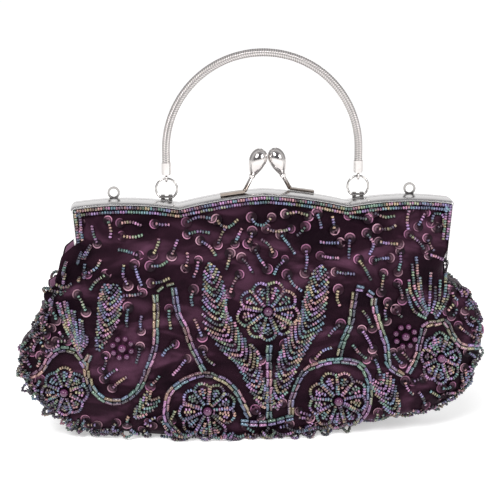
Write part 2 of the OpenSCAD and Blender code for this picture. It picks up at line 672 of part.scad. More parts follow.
// Leaves of slanted bead rows, each with a groove along its spine. A leaf is its places from
// tip to base and its half widths there as shares of the largest
leaf_h = 2.2;
leaf_gap = 0.7;
leaf_section = [[-1, leaf_gap], [0, leaf_gap], [1, leaf_gap], [1, leaf_gap + leaf_h * 0.5],
    [0.5, leaf_gap + leaf_h], [0, leaf_gap + leaf_h * 0.55], [-0.5, leaf_gap + leaf_h],
    [-1, leaf_gap + leaf_h * 0.5]];
big_leaf_shares = [[0, 0.95], [0.45, 1], [0.8, 0.8], [1, 0.35]];
small_leaf_shares = [[0, 0.45], [0.4, 0.8], [0.75, 0.65], [1, 0.25]];
leaf_shares = [
    [[-0.206, 0.588], [-0.187, 0.497], [-0.131, 0.403], [-0.075, 0.315], [-0.05, 0.222]],
    [[0.222, 0.588], [0.194, 0.486], [0.139, 0.398], [0.1, 0.311], [0.075, 0.228]]];
small_leaf_places_shares = [
    [[-0.637, 0.588], [-0.65, 0.494], [-0.675, 0.42]], [[0.735, 0.588], [0.73, 0.53]],
    [[-0.82, 0.565], [-0.79, 0.48], [-0.765, 0.41]], [[-0.47, 0.19], [-0.535, 0.12]],
    [[0.55, 0.235], [0.53, 0.09]]];
module leaf(points, w, width_shares) {
    bead_band(line_through(points), [for (q = width_shares) [q[0], q[1] * w]], leaf_section);
}
function spots(shares) = [for (q = shares) spot(q)];
module bead_leaves() {
    color(oil_bead) front_and_rear() {
        for (shares = leaf_shares) leaf(spots(shares), leaf_w, big_leaf_shares);
        for (shares = small_leaf_places_shares) leaf(spots(shares), leaf_w * 0.9, small_leaf_shares);
    }
}

// Flowers: petals of two bead rows each round a pearl. Each is its place and its size as a share
flower_shares = [[0.01, 0.539, 1], [-0.242, 0.145, 0.88], [0.336, 0.17, 0.9],
    [-0.827, 0.225, 0.72], [0.815, 0.32, 0.72]];
petals = 11;
petal_half_angle = 7;
petal_slim_share = 0.55;
petal_wide_share = 1.45;
petal_gap = 2;
function flower_pearl_r(size_share) = pearl_r * mix(1, size_share, 0.5);
module bead_row(from, to, r1, r2) {
    a = on_fabric(from, bead_gap + r1);
    d = on_fabric(to, bead_gap + r2) - a;
    translate(a) rotate([0, acos(d.z / norm(d)), atan2(d.y, d.x)]) cylinder(r1 = r1, r2 = r2, h = norm(d));
}
module bead_flowers() {
    slim = bead_d / 2 * petal_slim_share;
    wide = bead_d / 2 * petal_wide_share;
    color(oil_bead) front_and_rear() for (q = flower_shares, i = [0:petals - 1], turn = [-1, 1]) {
        a = 360 * (i + 0.5) / petals + turn * petal_half_angle;
        out = [cos(a), sin(a)];
        bead_row(spot(q) + out * (flower_pearl_r(q[2]) + petal_gap), spot(q) + out * flower_r * q[2],
            slim, wide);
    }
}
module flower_pearls() {
    color(pearl_plum) front_and_rear() for (q = flower_shares)
        translate(on_fabric(spot(q), flower_pearl_r(q[2]) + bead_gap)) sphere(flower_pearl_r(q[2]));
}

// Daisies of small pearls round a larger one
daisy_shares = [[-0.587, 0.404], [0.645, 0.424]];
daisy_pearls = 8;
daisy_r = 5.9;
daisy_bead_r = 1.7;
module pearl_daisies() {
    color(pearl_plum) front_and_rear() for (q = daisy_shares) {
        translate(on_fabric(spot(q), pearl_r * 0.8 + bead_gap)) sphere(pearl_r * 0.8);
        for (i = [0:daisy_pearls - 1]) {
            place = spot(q) + daisy_r * [cos(360 * i / daisy_pearls), sin(360 * i / daisy_pearls)];
            translate(on_fabric(place, daisy_bead_r + bead_gap)) sphere(daisy_bead_r);
        }
    }
}

// Sprigs: a short row of seed beads with a sequin at its end
sprig_len = 8.5;
sequin_r = 2.6;
sequin_t = 0.6;
sequin_clear = 0.4;
module sprig(p, angle) {
    d = [cos(angle), sin(angle)];
    disc = p + d * (sprig_len / 2 + sequin_clear + sequin_r);
    n = fabric_normal(disc.x, disc.y);
    bead_row(p - d * sprig_len / 2, p + d * sprig_len / 2, bead_d / 2, bead_d / 2);
    translate(on_fabric(disc, bead_gap)) rotate([0, acos(n.z), atan2(n.y, n.x)])
        cylinder(r = sequin_r, h = sequin_t);
}
// Sprigs between the scrolls. Each is its place and the way that it points
body_sprig_shares = [
    [-0.72, 0.51, 100], [-0.555, 0.5, 70], [-0.402, 0.47, 265], [-0.27, 0.448, 120], [-0.355, 0.353, 80],
    [-0.518, 0.333, 250], [-0.655, 0.285, 100], [-0.66, 0.12, 15], [0.31, 0.42, 70], [0.458, 0.39, 110],
    [0.58, 0.51, 80], [0.86, 0.5, 100], [0.67, 0.17, 60], [0.8, 0.165, 15]];
module body_sprigs() {
    color(oil_bead) front_and_rear() for (q = body_sprig_shares) sprig(spot(q), q[2]);
}

// Beadwork on the upper panels: leaf tips, and rows of sprigs that point this way and that
tip_shares = [
    [[-0.291, 0.725], [-0.275, 0.66], [-0.268, 0.607]], [[0.289, 0.71], [0.275, 0.65], [0.263, 0.607]],
    [[0.8414, 0.7], [0.8414, 0.607]], [[-0.806, 0.645], [-0.8125, 0.607]]];
tip_width_shares = [[0, 0.2], [0.3, 0.7], [1, 0.95]];
function tip_spot(share) = [share.x * mouth_half_w, share.y * frame_top_z];
sprig_row_shares = [0.665, 0.74, 0.812, 0.876];
sprigs_each = 10;
sprig_inset = 18.4;
sprig_arch_share = 0.7;
sprig_turn = 69;
tip_clear = 15;
function near_other_beads(p) = norm(p - spot(flower_shares[0])) < flower_r + sprig_len
    || min([for (t = tip_shares, q = t) norm(p - tip_spot(q))]) < tip_clear;
function sprig_spot(row, i) =
    let (lean = (row % 2 == 0 ? 0.25 : -0.25),
        x = (2 * (i + lean) / (sprigs_each - 1) - 1) * (mouth_half_w - sprig_inset))
    [x, sprig_row_shares[row] * frame_top_z - top_drop(x) * sprig_arch_share];
module panel_beads() {
    for (shares = tip_shares) leaf([for (q = shares) tip_spot(q)], leaf_w, tip_width_shares);
    for (row = [0:len(sprig_row_shares) - 1], i = [0:sprigs_each - 1])
        if (!near_other_beads(sprig_spot(row, i)))
            sprig(sprig_spot(row, i), sprig_turn * (i + row * sprigs_each));
}
module panel_beads_front() {
    color(oil_bead) panel_beads();
}
module panel_beads_rear() {
    color(oil_bead) mirror([0, 1, 0]) panel_beads();
}

// Fringe: ropes of bead loops along the base in front and behind, and up both sides outside the
// pouch's edge
fringe_w = 1.9;
fringe_swell_shares = [0.7, 1];
fringe_levels = [for (i = [len(body_levels) - 2:-1:1]) body_levels[i]];
fringe_out = bead_gap + fringe_w;
base_fringe_shares = [[-0.68, 0.052], [-0.5, 0.038], [-0.3, 0.03], [-0.1, 0.027], [0.1, 0.028], [0.25, 0.034],
    [0.38, 0.052]];
base_fringe_widths = [for (i = [0:bend_steps * (len(base_fringe_shares) - 1)])
    [i / (bend_steps * (len(base_fringe_shares) - 1)), fringe_w * fringe_swell_shares[i % 2]]];
module fringe_side(side) {
    edge = [for (l = fringe_levels) [side * (side < 0 ? l[1] : l[2]), l[0] * fabric_corner_z]];
    m = len(edge);
    points = [for (i = [0:m - 1]) edge[i] + side * across(edge, i) * fringe_out];
    ring = [for (i = [0:m - 1], q = [[-1, -1], [1, -1], [1, 1], [-1, 1]])
        let (w = fringe_w * fringe_swell_shares[i % 2], n = across(points, i))
        [points[i].x + n.x * q.x * w, q.y * w, points[i].y + n.y * q.x * w]];
    sides = [for (i = [0:m - 2], j = [0:3])
        let (k = (j + 1) % 4) [i * 4 + j, i * 4 + k, (i + 1) * 4 + k, (i + 1) * 4 + j]];
    faces = concat(sides, [[3, 2, 1, 0], [for (j = [0:3]) (m - 1) * 4 + j]]);
    polyhedron(ring, faces, convexity = 10);
}
module bead_fringe() {
    section = [[-1, bead_gap], [1, bead_gap], [1, fringe_out + fringe_w], [-1, fringe_out + fringe_w]];
    color(oil_bead) {
        for (side = [-1, 1]) fringe_side(side);
        front_and_rear()
            bead_band(line_through([for (q = base_fringe_shares) spot(q)]), base_fringe_widths, section);
    }
}

rear_frame();
front_frame();
hinge_rivets();
pouch_body();
pouch_rear_panel();
pouch_front_panel();
lining();
bead_edging_front();
bead_edging_rear();
clasp_arm_left();
clasp_arm_right();
clasp_collar_left();
clasp_collar_right();
clasp_ball_left();
clasp_ball_right();
ring_staple_left();
ring_staple_right();
ring_left();
ring_right();
eyelet_left();
eyelet_right();
ferrule_left();
ferrule_right();
handle_chain();
chain_loop_left();
chain_loop_right();
loop_guide_left();
loop_guide_right();
bead_scrolls();
bead_leaves();
bead_flowers();
flower_pearls();
pearl_daisies();
body_sprigs();
panel_beads_front();
panel_beads_rear();
bead_fringe();
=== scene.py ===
import math

import bmesh
import bpy
import numpy as np
from mathutils import Matrix, Vector


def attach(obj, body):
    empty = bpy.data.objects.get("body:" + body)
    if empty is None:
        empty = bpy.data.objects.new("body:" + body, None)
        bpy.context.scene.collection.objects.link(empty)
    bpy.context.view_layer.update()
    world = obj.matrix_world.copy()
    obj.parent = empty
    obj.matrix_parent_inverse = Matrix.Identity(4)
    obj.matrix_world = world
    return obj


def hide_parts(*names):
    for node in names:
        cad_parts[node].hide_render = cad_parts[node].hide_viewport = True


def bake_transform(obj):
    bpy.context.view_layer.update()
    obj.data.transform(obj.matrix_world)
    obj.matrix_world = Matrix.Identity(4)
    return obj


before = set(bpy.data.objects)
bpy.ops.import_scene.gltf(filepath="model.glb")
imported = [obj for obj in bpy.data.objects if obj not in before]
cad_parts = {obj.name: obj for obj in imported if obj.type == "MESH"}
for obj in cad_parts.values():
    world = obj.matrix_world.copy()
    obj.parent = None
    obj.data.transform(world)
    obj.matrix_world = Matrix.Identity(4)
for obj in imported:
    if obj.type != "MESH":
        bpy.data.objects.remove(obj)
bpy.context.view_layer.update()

# Lengths below are in millimetres, and places in the picture are in pixels from its top left corner
MM = 0.001
PICTURE = 500
rng = np.random.default_rng(7)

# The front of the clutch has negative y
SIDES = (-1, 1)
END = {-1: "front", 1: "rear"}

# Camera
AZIMUTH = math.radians(-3.74)
ELEVATION = math.radians(13)
ROLL = math.radians(0.17)
DISTANCE = 800.0
FOCAL_PIXELS = 1304.75
SENSOR_WIDTH = 36
CLIP_END = 50
TARGET = np.array([-8.10, 0.0, 115.72])

back = np.array([math.sin(AZIMUTH) * math.cos(ELEVATION), -math.cos(AZIMUTH) * math.cos(ELEVATION),
                 math.sin(ELEVATION)])
forward = -back
right = np.cross(forward, [0, 0, 1])
right /= np.linalg.norm(right)
up = np.cross(right, forward)
cam_x = right * math.cos(ROLL) - up * math.sin(ROLL)
cam_y = right * math.sin(ROLL) + up * math.cos(ROLL)
cam_at = TARGET + back * DISTANCE


def project(p):
    """Place in the picture where a point is seen."""
    d = np.asarray(p, float) - cam_at
    depth = d @ forward
    return np.stack([PICTURE / 2 + FOCAL_PIXELS * (d @ cam_x) / depth,
                     PICTURE / 2 - FOCAL_PIXELS * (d @ cam_y) / depth], -1)


cam = bpy.data.objects.new("camera", bpy.data.cameras.new("camera"))
bpy.context.collection.objects.link(cam)
cam.data.sensor_width = SENSOR_WIDTH
cam.data.lens = FOCAL_PIXELS / PICTURE * SENSOR_WIDTH
cam.data.clip_end = CLIP_END
axes = Matrix(np.stack([cam_x, cam_y, back], 1).tolist())
cam.matrix_world = Matrix.Translation(Vector(cam_at * MM)) @ axes.to_4x4()
bpy.context.scene.camera = cam
bpy.context.scene.view_settings.view_transform = "Standard"

# Materials
WHITE = (1, 1, 1)


def wire(n, inputs):
    """Sets a node's inputs, by name or number. A value that is another node's output is linked."""
    for key, value in inputs.items():
        if isinstance(value, bpy.types.NodeSocket):
            n.id_data.links.new(value, n.inputs[key])
        else:
            n.inputs[key].default_value = value


def node(tree, kind, inputs, **properties):
    """Outputs of a new node."""
    n = tree.nodes.new("ShaderNode" + kind)
    for key, value in properties.items():
        setattr(n, key, value)
    wire(n, inputs)
    return n.outputs


def material(name, color, rough, metal, inputs):
    """Principled material: the material, its nodes and its shader."""
    mat = bpy.data.materials.new(name)
    mat.use_nodes = True
    shader = mat.node_tree.nodes["Principled BSDF"]
    wire(shader, {"Base Color": (*color, 1), "Roughness": rough, "Metallic": metal, **inputs})
    return mat, mat.node_tree, shader


def coords(tree, scale=(1, 1, 1)):
    """Object coordinates times a scale."""
    tex = node(tree, "TexCoord", {})
    return node(tree, "Mapping", {"Vector": tex["Object"], "Scale": scale})["Vector"]


def noise(tree, vec, scale, detail, distortion=0.0):
    return node(tree, "TexNoise", {"Vector": vec, "Scale": scale, "Detail": detail,
                                   "Distortion": distortion})["Fac"]


def ramp(tree, fac, stops):
    """Colour ramp from (position, colour) pairs."""
    r = tree.nodes.new("ShaderNodeValToRGB")
    wire(r, {"Fac": fac})
    while len(r.color_ramp.elements) < len(stops):
        r.color_ramp.elements.new(0.5)
    for e, (pos, col) in zip(r.color_ramp.elements, stops):
        e.position = pos
        e.color = (*col, 1)
    return r.outputs["Color"]


def map_range(tree, value, low=0.0, high=1.0, start=0.0, end=1.0):
    """A value between start and end, turned into one between low and high."""
    return node(tree, "MapRange", {"Value": value, "From Min": start, "From Max": end, "To Min": low,
                                   "To Max": high})["Result"]


def reckon(tree, operation, *values):
    """Result of arithmetic in the shader."""
    return node(tree, "Math", dict(enumerate(values)), operation=operation)[0]


def bump(tree, height, strength, distance):
    return node(tree, "Bump", {"Height": height, "Strength": strength, "Distance": distance})["Normal"]


def vertex_colors(tree):
    return node(tree, "VertexColor", {}, layer_name="Col")["Color"]


def foot_shade(tree, height):
    """White that turns dark under a height, given in metres."""
    z = node(tree, "SeparateXYZ", {0: coords(tree)})["Z"]
    share = map_range(tree, z, start=height - 1 * MM, end=height + 3 * MM)
    return ramp(tree, share, [(0, (0.42, 0.37, 0.33)), (1, WHITE)])


def nickel_material(name, color, rough, scale=(30, 30, 30), painted_vertex_shade=False, foot=None):
    """Bright metal. A flag multiplies in the vertex colours, which carry painted shade, and foot is a height
    under which it is darker.
    """
    mat, tree, shader = material(name, color, rough, 1.0, {})
    mottle = noise(tree, coords(tree, scale), 12.0, 3.0)
    dull, bright = tuple(c * 0.93 for c in color), tuple(min(1, c * 1.04) for c in color)
    col = ramp(tree, mottle, [(0.3, dull), (0.7, bright)])
    if painted_vertex_shade or foot:
        shade = vertex_colors(tree) if painted_vertex_shade else foot_shade(tree, foot)
        mix = node(tree, "Mix", {0: 1, 6: col, 7: shade}, data_type="RGBA", blend_type="MULTIPLY")
        col = mix[2]
    wire(shader, {"Base Color": col, "Roughness": map_range(tree, mottle, rough * 0.85, rough * 1.2)})
    return mat


def satin_material():
    mat, tree, shader = material("satin", (0.045, 0.017, 0.031), 0.45, 0.0, {
        "Sheen Weight": 0.03, "Sheen Roughness": 0.4, "Sheen Tint": (0.75, 0.45, 0.65, 1),
        "Anisotropic": 0.5, "Specular IOR Level": 0.08, "Specular Tint": (0.80, 0.55, 0.70, 1)})
    # Painted sheen and shade: soft noise patches run from near black to a purple highlight, standing in for
    # light on the folds
    color = ramp(tree, noise(tree, coords(tree, (0.7, 1, 1.7)), 30.0, 3.0, 0.8), [
        (0.38, (0.004, 0.0012, 0.003)), (0.54, (0.015, 0.005, 0.010)), (0.73, (0.080, 0.031, 0.057))])
    weave = node(tree, "TexWave", {"Vector": coords(tree), "Scale": 1300.0, "Distortion": 0.4},
                 wave_type="BANDS", bands_direction="DIAGONAL")["Fac"]
    crease = noise(tree, coords(tree), 90.0, 3.0, 1.2)
    height = reckon(tree, "MULTIPLY_ADD", weave, 0.05, crease)
    wire(shader, {"Base Color": color, "Normal": bump(tree, height, 0.6, 0.0016)})
    return mat


def lining_material():
    mat, tree, shader = material("lining", (0.13, 0.04, 0.09), 0.5, 0.0, {"Sheen Weight": 0.3})
    weave = node(tree, "TexWave", {"Vector": coords(tree), "Scale": 900.0, "Distortion": 0.5})["Fac"]
    color = ramp(tree, weave, [(0.2, (0.10, 0.03, 0.07)), (0.8, (0.16, 0.06, 0.12))])
    wire(shader, {"Base Color": color, "Normal": bump(tree, weave, 0.3, 0.0002)})
    return mat


def bead_material(name, rough, metal, coat, scale, specular=0.5):
    """Glass or plastic in the vertex colours, with hue and roughness that vary from bead to bead."""
    mat, tree, shader = material(name, (0.2, 0.2, 0.2), rough, metal, {
        "Coat Weight": coat, "Coat Roughness": 0.08, "Specular IOR Level": specular})
    grain = noise(tree, coords(tree), scale, 2.0)
    hue = node(tree, "HueSaturation", {"Hue": map_range(tree, grain, 0.46, 0.54), "Saturation": 0.95,
                                       "Color": vertex_colors(tree)})
    wire(shader, {"Base Color": hue["Color"],
                  "Roughness": map_range(tree, grain, rough * 0.7, rough * 1.4)})
    return mat


nickel = nickel_material("nickel", (0.66, 0.63, 0.615), 0.14)
# Darker copies of the same nickel, as painted shade: for the ring and loop guide, and darker still for the
# chain loops
shaded_nickel = nickel_material("shaded_nickel", (0.50, 0.48, 0.465), 0.14)
shaded_loop_nickel = nickel_material("shaded_loop_nickel", (0.36, 0.345, 0.335), 0.2)
clasp_nickel = nickel_material("clasp_nickel", (0.66, 0.63, 0.615), 0.16, foot=0.157)
chain_nickel = nickel_material("chain_nickel", (0.72, 0.68, 0.665), 0.3, painted_vertex_shade=True)
plate = nickel_material("nickel_plate", (0.70, 0.685, 0.685), 0.24, (2, 40, 40))
satin = satin_material()
lining_mat = lining_material()
seed_mat = bead_material("seed_beads", 0.24, 0.3, 0.5, 1400.0)
bugle_mat = bead_material("bugle_beads", 0.2, 0.4, 0.6, 700.0)
sequin_mat = bead_material("sequins", 0.5, 0.0, 0.0, 900.0, 0.12)
pearl_mat = bead_material("pearls", 0.25, 0.2, 0.7, 300.0)


# Mesh helpers
def mesh_object(name, verts, faces, mat, colors=None, smooth=True):
    """faces: a list of integer arrays, one array for each number of corners."""
    verts = np.asarray(verts, float) * MM
    me = bpy.data.meshes.new(name)
    faces = [np.asarray(f, np.int32) for f in faces]
    loops = np.concatenate([f.ravel() for f in faces])
    totals = np.concatenate([np.full(len(f), f.shape[1], np.int32) for f in faces])
    starts = np.concatenate([[0], np.cumsum(totals)[:-1]]).astype(np.int32)
    me.vertices.add(len(verts))
    me.vertices.foreach_set("co", verts.astype(np.float32).ravel())
    me.loops.add(len(loops))
    me.loops.foreach_set("vertex_index", loops)
    me.polygons.add(len(totals))
    me.polygons.foreach_set("loop_start", starts)
    me.polygons.foreach_set("loop_total", totals)
    me.polygons.foreach_set("use_smooth", np.full(len(totals), smooth))
    me.update(calc_edges=True)
    if colors is not None:
        layer = me.color_attributes.new("Col", "FLOAT_COLOR", "POINT")
        rgba = np.ones((len(verts), 4), np.float32)
        rgba[:, :3] = colors
        layer.data.foreach_set("color", rgba.ravel())
    me.materials.append(mat)
    ob = bpy.data.objects.new(name, me)
    bpy.context.collection.objects.link(ob)
    return ob


def unit(v):
    return v / np.maximum(np.linalg.norm(v, axis=-1, keepdims=True), 1e-9)


def grid_faces(rows, cols, closed=False, flip=False):
    """Quads of a grid of points. closed joins the last column to the first."""
    i = np.arange(rows - 1)[:, None]
    j = np.arange(cols if closed else cols - 1)[None, :]
    k = (j + 1) % cols
    f = np.stack(np.broadcast_arrays(i * cols + j, i * cols + k, (i + 1) * cols + k, (i + 1) * cols + j), -1)
    f = f.reshape(-1, 4)
    return f[:, ::-1] if flip else f


def around(sides):
    """Angles of a ring of points."""
    return np.arange(sides) * 2 * math.pi / sides


def lathe(profile, sides):
    """Template about the X axis from (x, r) pairs, closed with a face at each end."""
    v = np.array([[x, r * math.cos(t), r * math.sin(t)] for x, r in profile for t in around(sides)])
    f = grid_faces(len(profile), sides, closed=True)
    n = (len(profile) - 1) * sides
    return v, [f, np.array([list(range(sides))[::-1], list(range(n, n + sides))])]


# Templates of one bead each, about 1 mm long or in radius. A seed bead carries painted shade round its
# holes, where beads meet, and a painted highlight round its middle.
BEAD_SIDES = 8
SEED = lathe([(-0.5, 0.45), (-0.38, 0.86), (0.0, 1.0), (0.38, 0.86), (0.5, 0.45)], BEAD_SIDES)
SEED_SHADE_AND_HIGHLIGHT = np.repeat([0.0, 0.9, 1.4, 0.9, 0.0], BEAD_SIDES)
BUGLE = lathe([(-0.5, 0.6), (-0.47, 1.0), (0.47, 1.0), (0.5, 0.6)], BEAD_SIDES)
PEARL_SIDES = 14
PEARL = lathe([(math.sin(t), math.cos(t) + 1e-3) for t in np.linspace(-0.5, 0.5, 9) * math.pi], PEARL_SIDES)

# A sequin is a cup with a hole. Its rings have a radius, a height and a share of the painted highlight on
# its rim.
SEQUIN_SIDES, SEQUIN_THICK = 20, 0.12
CUP_RADII = [0.4, 1.5, 2.4, 2.9, 3.3]
CUP_HEIGHTS = [0.0, 0.14, 0.42, 0.68, 0.95]
CUP_HIGHLIGHT = [0.0, 0.3, 0.05, 1.0, 0.9]


def cup_template():
    rings = list(zip(CUP_RADII, CUP_HEIGHTS))
    rings += [(r, z - SEQUIN_THICK) for r, z in rings[::-1]]
    v = [[r * math.cos(t), r * math.sin(t), z] for r, z in rings for t in around(SEQUIN_SIDES)]
    return np.array(v), [grid_faces(len(rings), SEQUIN_SIDES, closed=True)]


SEQUIN = cup_template()
GOLDEN_TURN = 2.399


class Pile:
    """Copies of one small template, gathered into one mesh."""

    def __init__(self, template):
        self.template = template
        self.parts = []

    def add(self, at, along, normal, scale, colors, second):
        """Beads with their X axis along the thread and Z off the fabric, in two colours each."""
        at, along, normal = (np.atleast_2d(x).astype(float) for x in (at, along, normal))
        x = unit(along - normal * (along * normal).sum(-1, keepdims=True))
        y = np.cross(normal, x)
        scale, colors, second = (np.broadcast_to(np.asarray(q, float), (len(at), 3))
                                 for q in (scale, colors, second))
        self.parts.append((at, x, y, normal, scale, colors, second))

    def shares(self, count):
        """Share of the second colour at each point of each copy, turned a little from copy to copy. On a
        sequin the second colour is a painted highlight, a crescent on its rim.
        """
        v = self.template[0]
        number = np.arange(count)[:, None]
        if self.template is SEQUIN:
            turn = np.arctan2(v[:, 1], v[:, 0])[None] + 0.9 * np.sin(7.0 * number)
            rim = np.interp(np.hypot(v[:, 0], v[:, 1]), CUP_RADII, CUP_HIGHLIGHT)[None]
            return rim * np.clip(0.08 + 1.2 * np.cos(turn), 0, 1)
        turn = np.arctan2(v[:, 2], v[:, 1])[None] + number * GOLDEN_TURN
        return 0.5 + 0.5 * np.cos(turn)

    def build(self, name, mat):
        v, faces = self.template
        at, x, y, z, size, first, second = (np.concatenate(column) for column in zip(*self.parts))
        n, k = len(at), len(v)
        verts = at[:, None] + (v[None] * size[:, None]) @ np.stack([x, y, z], 1)
        out = [(f[None] + (np.arange(n) * k)[:, None, None]).reshape(-1, f.shape[1]) for f in faces]
        w = self.shares(n)[..., None]
        cols = first[:, None] * (1 - w) + second[:, None] * w
        if self.template is SEED:
            # Painted shade at each seed bead's ends and a painted highlight round its middle
            cols = cols * SEED_SHADE_AND_HIGHLIGHT[None, :, None]
        return mesh_object(name, verts.reshape(-1, 3), out, mat, cols.reshape(-1, 3))


# The clutch's form, as in the source
FRAME_W = 233.0
FRAME_TOP = 153.4
HALF_D = 10.4
METAL = 0.9
HUMP = 7.8
HOLLOW = 51.0
CREST_X = 86.0
CREST_H = 3.1
DOME = 1.0
LIP = 2.1
CORNER_R = 3.6
HINGE_Z = 104.0
LEAN = 2.6
SEAM = 0.15
SOFT = 0.3
EAR_R = 4.6
EAR_GAP = 0.25
EAR_TOP = 8.1
EAR_INSET = 0.05
EAR_W = 110.75
SEAM_WALL = 3.0
LEFT_W = 148.0
RIGHT_W = 132.0
DEPTH = 22.0


def top_z(x):
    """Height of the frame's upper line: a hump in the middle and a crest at each side."""
    x = np.abs(np.asarray(x, float))
    s = x / HOLLOW
    hump = HUMP * (0.4 * s + 0.6 * s * s)
    crest = HUMP - CREST_H + CREST_H * ((x - CREST_X) / (CREST_X - HOLLOW)) ** 2
    return FRAME_TOP - np.where(x < HOLLOW, hump, crest)


CORNER_X = FRAME_W / 2 - CORNER_R
CORNER_Z = float(top_z(CORNER_X)) - CORNER_R
HINGE_X = FRAME_W / 2 - LEAN
ARM_END = HINGE_Z + EAR_R + 1
MOUTH_D = HALF_D - METAL - SOFT
MOUTH_W = FRAME_W / 2 - METAL - SOFT


def fabric_top(x):
    return top_z(x) - DOME - METAL - SOFT


CLOTH_Z = float(fabric_top(MOUTH_W))


def arm_w(v):
    """Half width of the fabric between the frame's arms."""
    return MOUTH_W - LEAN * CLOTH_Z * (1 - v) / (CORNER_Z - ARM_END)


# Levels of the fabric from the base up: share of the height, half widths at left and right, share of the
# depth. The pouch's half widths are shares of its full ones.
POUCH_LEVELS = [(0, .385, .26, .72), (.026, .64, .35, .84), (.053, .81, .46, .9), (.083, .85, .75, .935),
                (.109, .89, .87, .955), (.158, .94, .94, .98), (.212, .985, .995, .995),
                (.28, 1.015, 1.02, 1), (.36, 1.02, 1.035, 1), (.43, 1.005, 1.04, 1), (.476, .96, 1.03, .99),
                (.576, .92, .99, .95), (.635, .868, .938, .92)]
NECK_LEVELS = [(.69, EAR_W, .86), (.755, EAR_W, .785), (.8, arm_w(.8), .73), (.89, arm_w(.89), .6),
               (1, arm_w(1), MOUTH_D / DEPTH)]
LEVELS = np.array([(v, on_left * LEFT_W, on_right * RIGHT_W, depth)
                   for v, on_left, on_right, depth in POUCH_LEVELS]
                  + [(v, width, width, depth) for v, width, depth in NECK_LEVELS])
LEVELS[:, 3] *= DEPTH
DENSE_V = np.linspace(0, 1, 401)
PAD = 9


def smooth_column(column):
    """One column of the levels, rounded where it bends."""
    y = np.interp(DENSE_V, LEVELS[:, 0], LEVELS[:, column])
    padded = np.concatenate([2 * y[0] - y[PAD:0:-1], y, 2 * y[-1] - y[-2:-PAD - 2:-1]])
    kernel = np.hanning(2 * PAD + 1)
    kernel /= kernel.sum()
    return np.convolve(padded, kernel, "valid")


LEFT_REACH, RIGHT_REACH, HALF_DEPTHS = (smooth_column(column) for column in (1, 2, 3))


def reach_of(v, s):
    return np.where(s < 0, np.interp(v, DENSE_V, LEFT_REACH), np.interp(v, DENSE_V, RIGHT_REACH))


# Shoulders: in front of and behind the side arms the gathered satin bulges out past the frame
SHOULDER_V = [0.58, 0.62, 0.66, 0.71, 0.763, 0.81, 0.85, 0.88]
LEFT_LOBE = [0, 14, 25, 27, 24, 20, 12, 0]
RIGHT_LOBE = [0, 2, 6, 4, 1, 0, 0, 0]
LOBE_FROM, LOBE_SPAN = 0.80, 0.184


def lobe(s, v):
    by = np.where(s < 0, -np.interp(v, SHOULDER_V, LEFT_LOBE), np.interp(v, SHOULDER_V, RIGHT_LOBE))
    t = np.clip((np.abs(s) - LOBE_FROM) / LOBE_SPAN, 0, 1)
    return by * np.sin(math.pi * t) ** 2


FOLD_HEIGHT = 0.62
FOLDS = [(rng.uniform(-1, 1, 2), rng.uniform(0, 6.3)) for _ in range(14)]


def folds(s, v):
    """Soft drape of the satin: waves out from the smooth form that fade at its edges."""
    total = np.zeros(np.broadcast(s, v).shape)
    for i, (way, phase) in enumerate(FOLDS):
        waves = 5 + 1.7 * i
        total += np.sin(waves * (1.5 * way[0] * s + 0.8 * way[1] * v) + phase) / (1 + 0.35 * i)
    fade = np.clip((1 - v) / 0.12, 0, 1) * np.clip(v / 0.05, 0, 1) * np.clip((1 - np.abs(s)) / 0.1, 0, 1)
    return FOLD_HEIGHT * total * fade


# The fabric's cross section is a superellipse, fuller at the frame than at the base
BASE_POWER, TOP_POWER = 2.6, 7
RISE_FROM, RISE_SPAN = 0.635, 0.365
REAR_SHIFT = 0.37
HINGE_V, SIDE_GAP, ARM_GAP = 0.755, 0.1, 1.35


def skin(s, v, side, lift=0.0):
    """Point of the fabric. s runs from -1 at the left edge to 1 at the right, v from base to frame."""
    s, v = np.broadcast_arrays(np.asarray(s, float), np.asarray(v, float))
    s = np.clip(s, -1, 1)
    n = BASE_POWER + (TOP_POWER - BASE_POWER) * v * v
    rise = np.maximum(0, (v - RISE_FROM) / RISE_SPAN) * (fabric_top(s * MOUTH_W) - CLOTH_Z)
    x = s * reach_of(v, s) + lobe(s, v)
    y = np.interp(v, DENSE_V, HALF_DEPTHS) * np.maximum(0, 1 - np.abs(s) ** n) ** (1 / n)
    y = y + folds(s, v + (REAR_SHIFT if side > 0 else 0)) + lift
    least = np.where(v < HINGE_V, SIDE_GAP, ARM_GAP)
    return np.stack([x, side * np.maximum(y, least), CLOTH_Z * v + rise], -1)


# Cells of the map below, and how often its gaps are filled from beside
CELL = 0.5
CELLS = int(PICTURE / CELL)
GROW = 40


def cell_of(px):
    return np.clip((px / CELL).astype(int), 0, CELLS - 1)


def visible_map():
    """For each half pixel of the picture, the place on the front of the fabric that is seen there."""
    s, v = np.meshgrid(np.sin(np.linspace(-1.54, 1.54, 1500)), np.linspace(0, 1, 800))
    p = skin(s, v, -1)
    cell = cell_of(project(p))
    far_first = np.argsort(-((p - cam_at) @ forward).ravel())
    index = (cell[..., 1] * CELLS + cell[..., 0]).ravel()[far_first]
    seen = np.full((2, CELLS * CELLS), np.nan)
    seen[0, index] = s.ravel()[far_first]
    seen[1, index] = v.ravel()[far_first]
    seen = seen.reshape(2, CELLS, CELLS)
    for _ in range(GROW):
        for axis in (1, 2):
            for by in (-1, 1):
                seen = np.where(np.isnan(seen), np.roll(seen, by, axis), seen)
    return np.nan_to_num(seen)


SEEN = visible_map()
PROBE = 1e-3
LAST_STEPS, LONGEST_STEP = 6, 0.004


def cross(a, b):
    return a[:, 0] * b[:, 1] - a[:, 1] * b[:, 0]


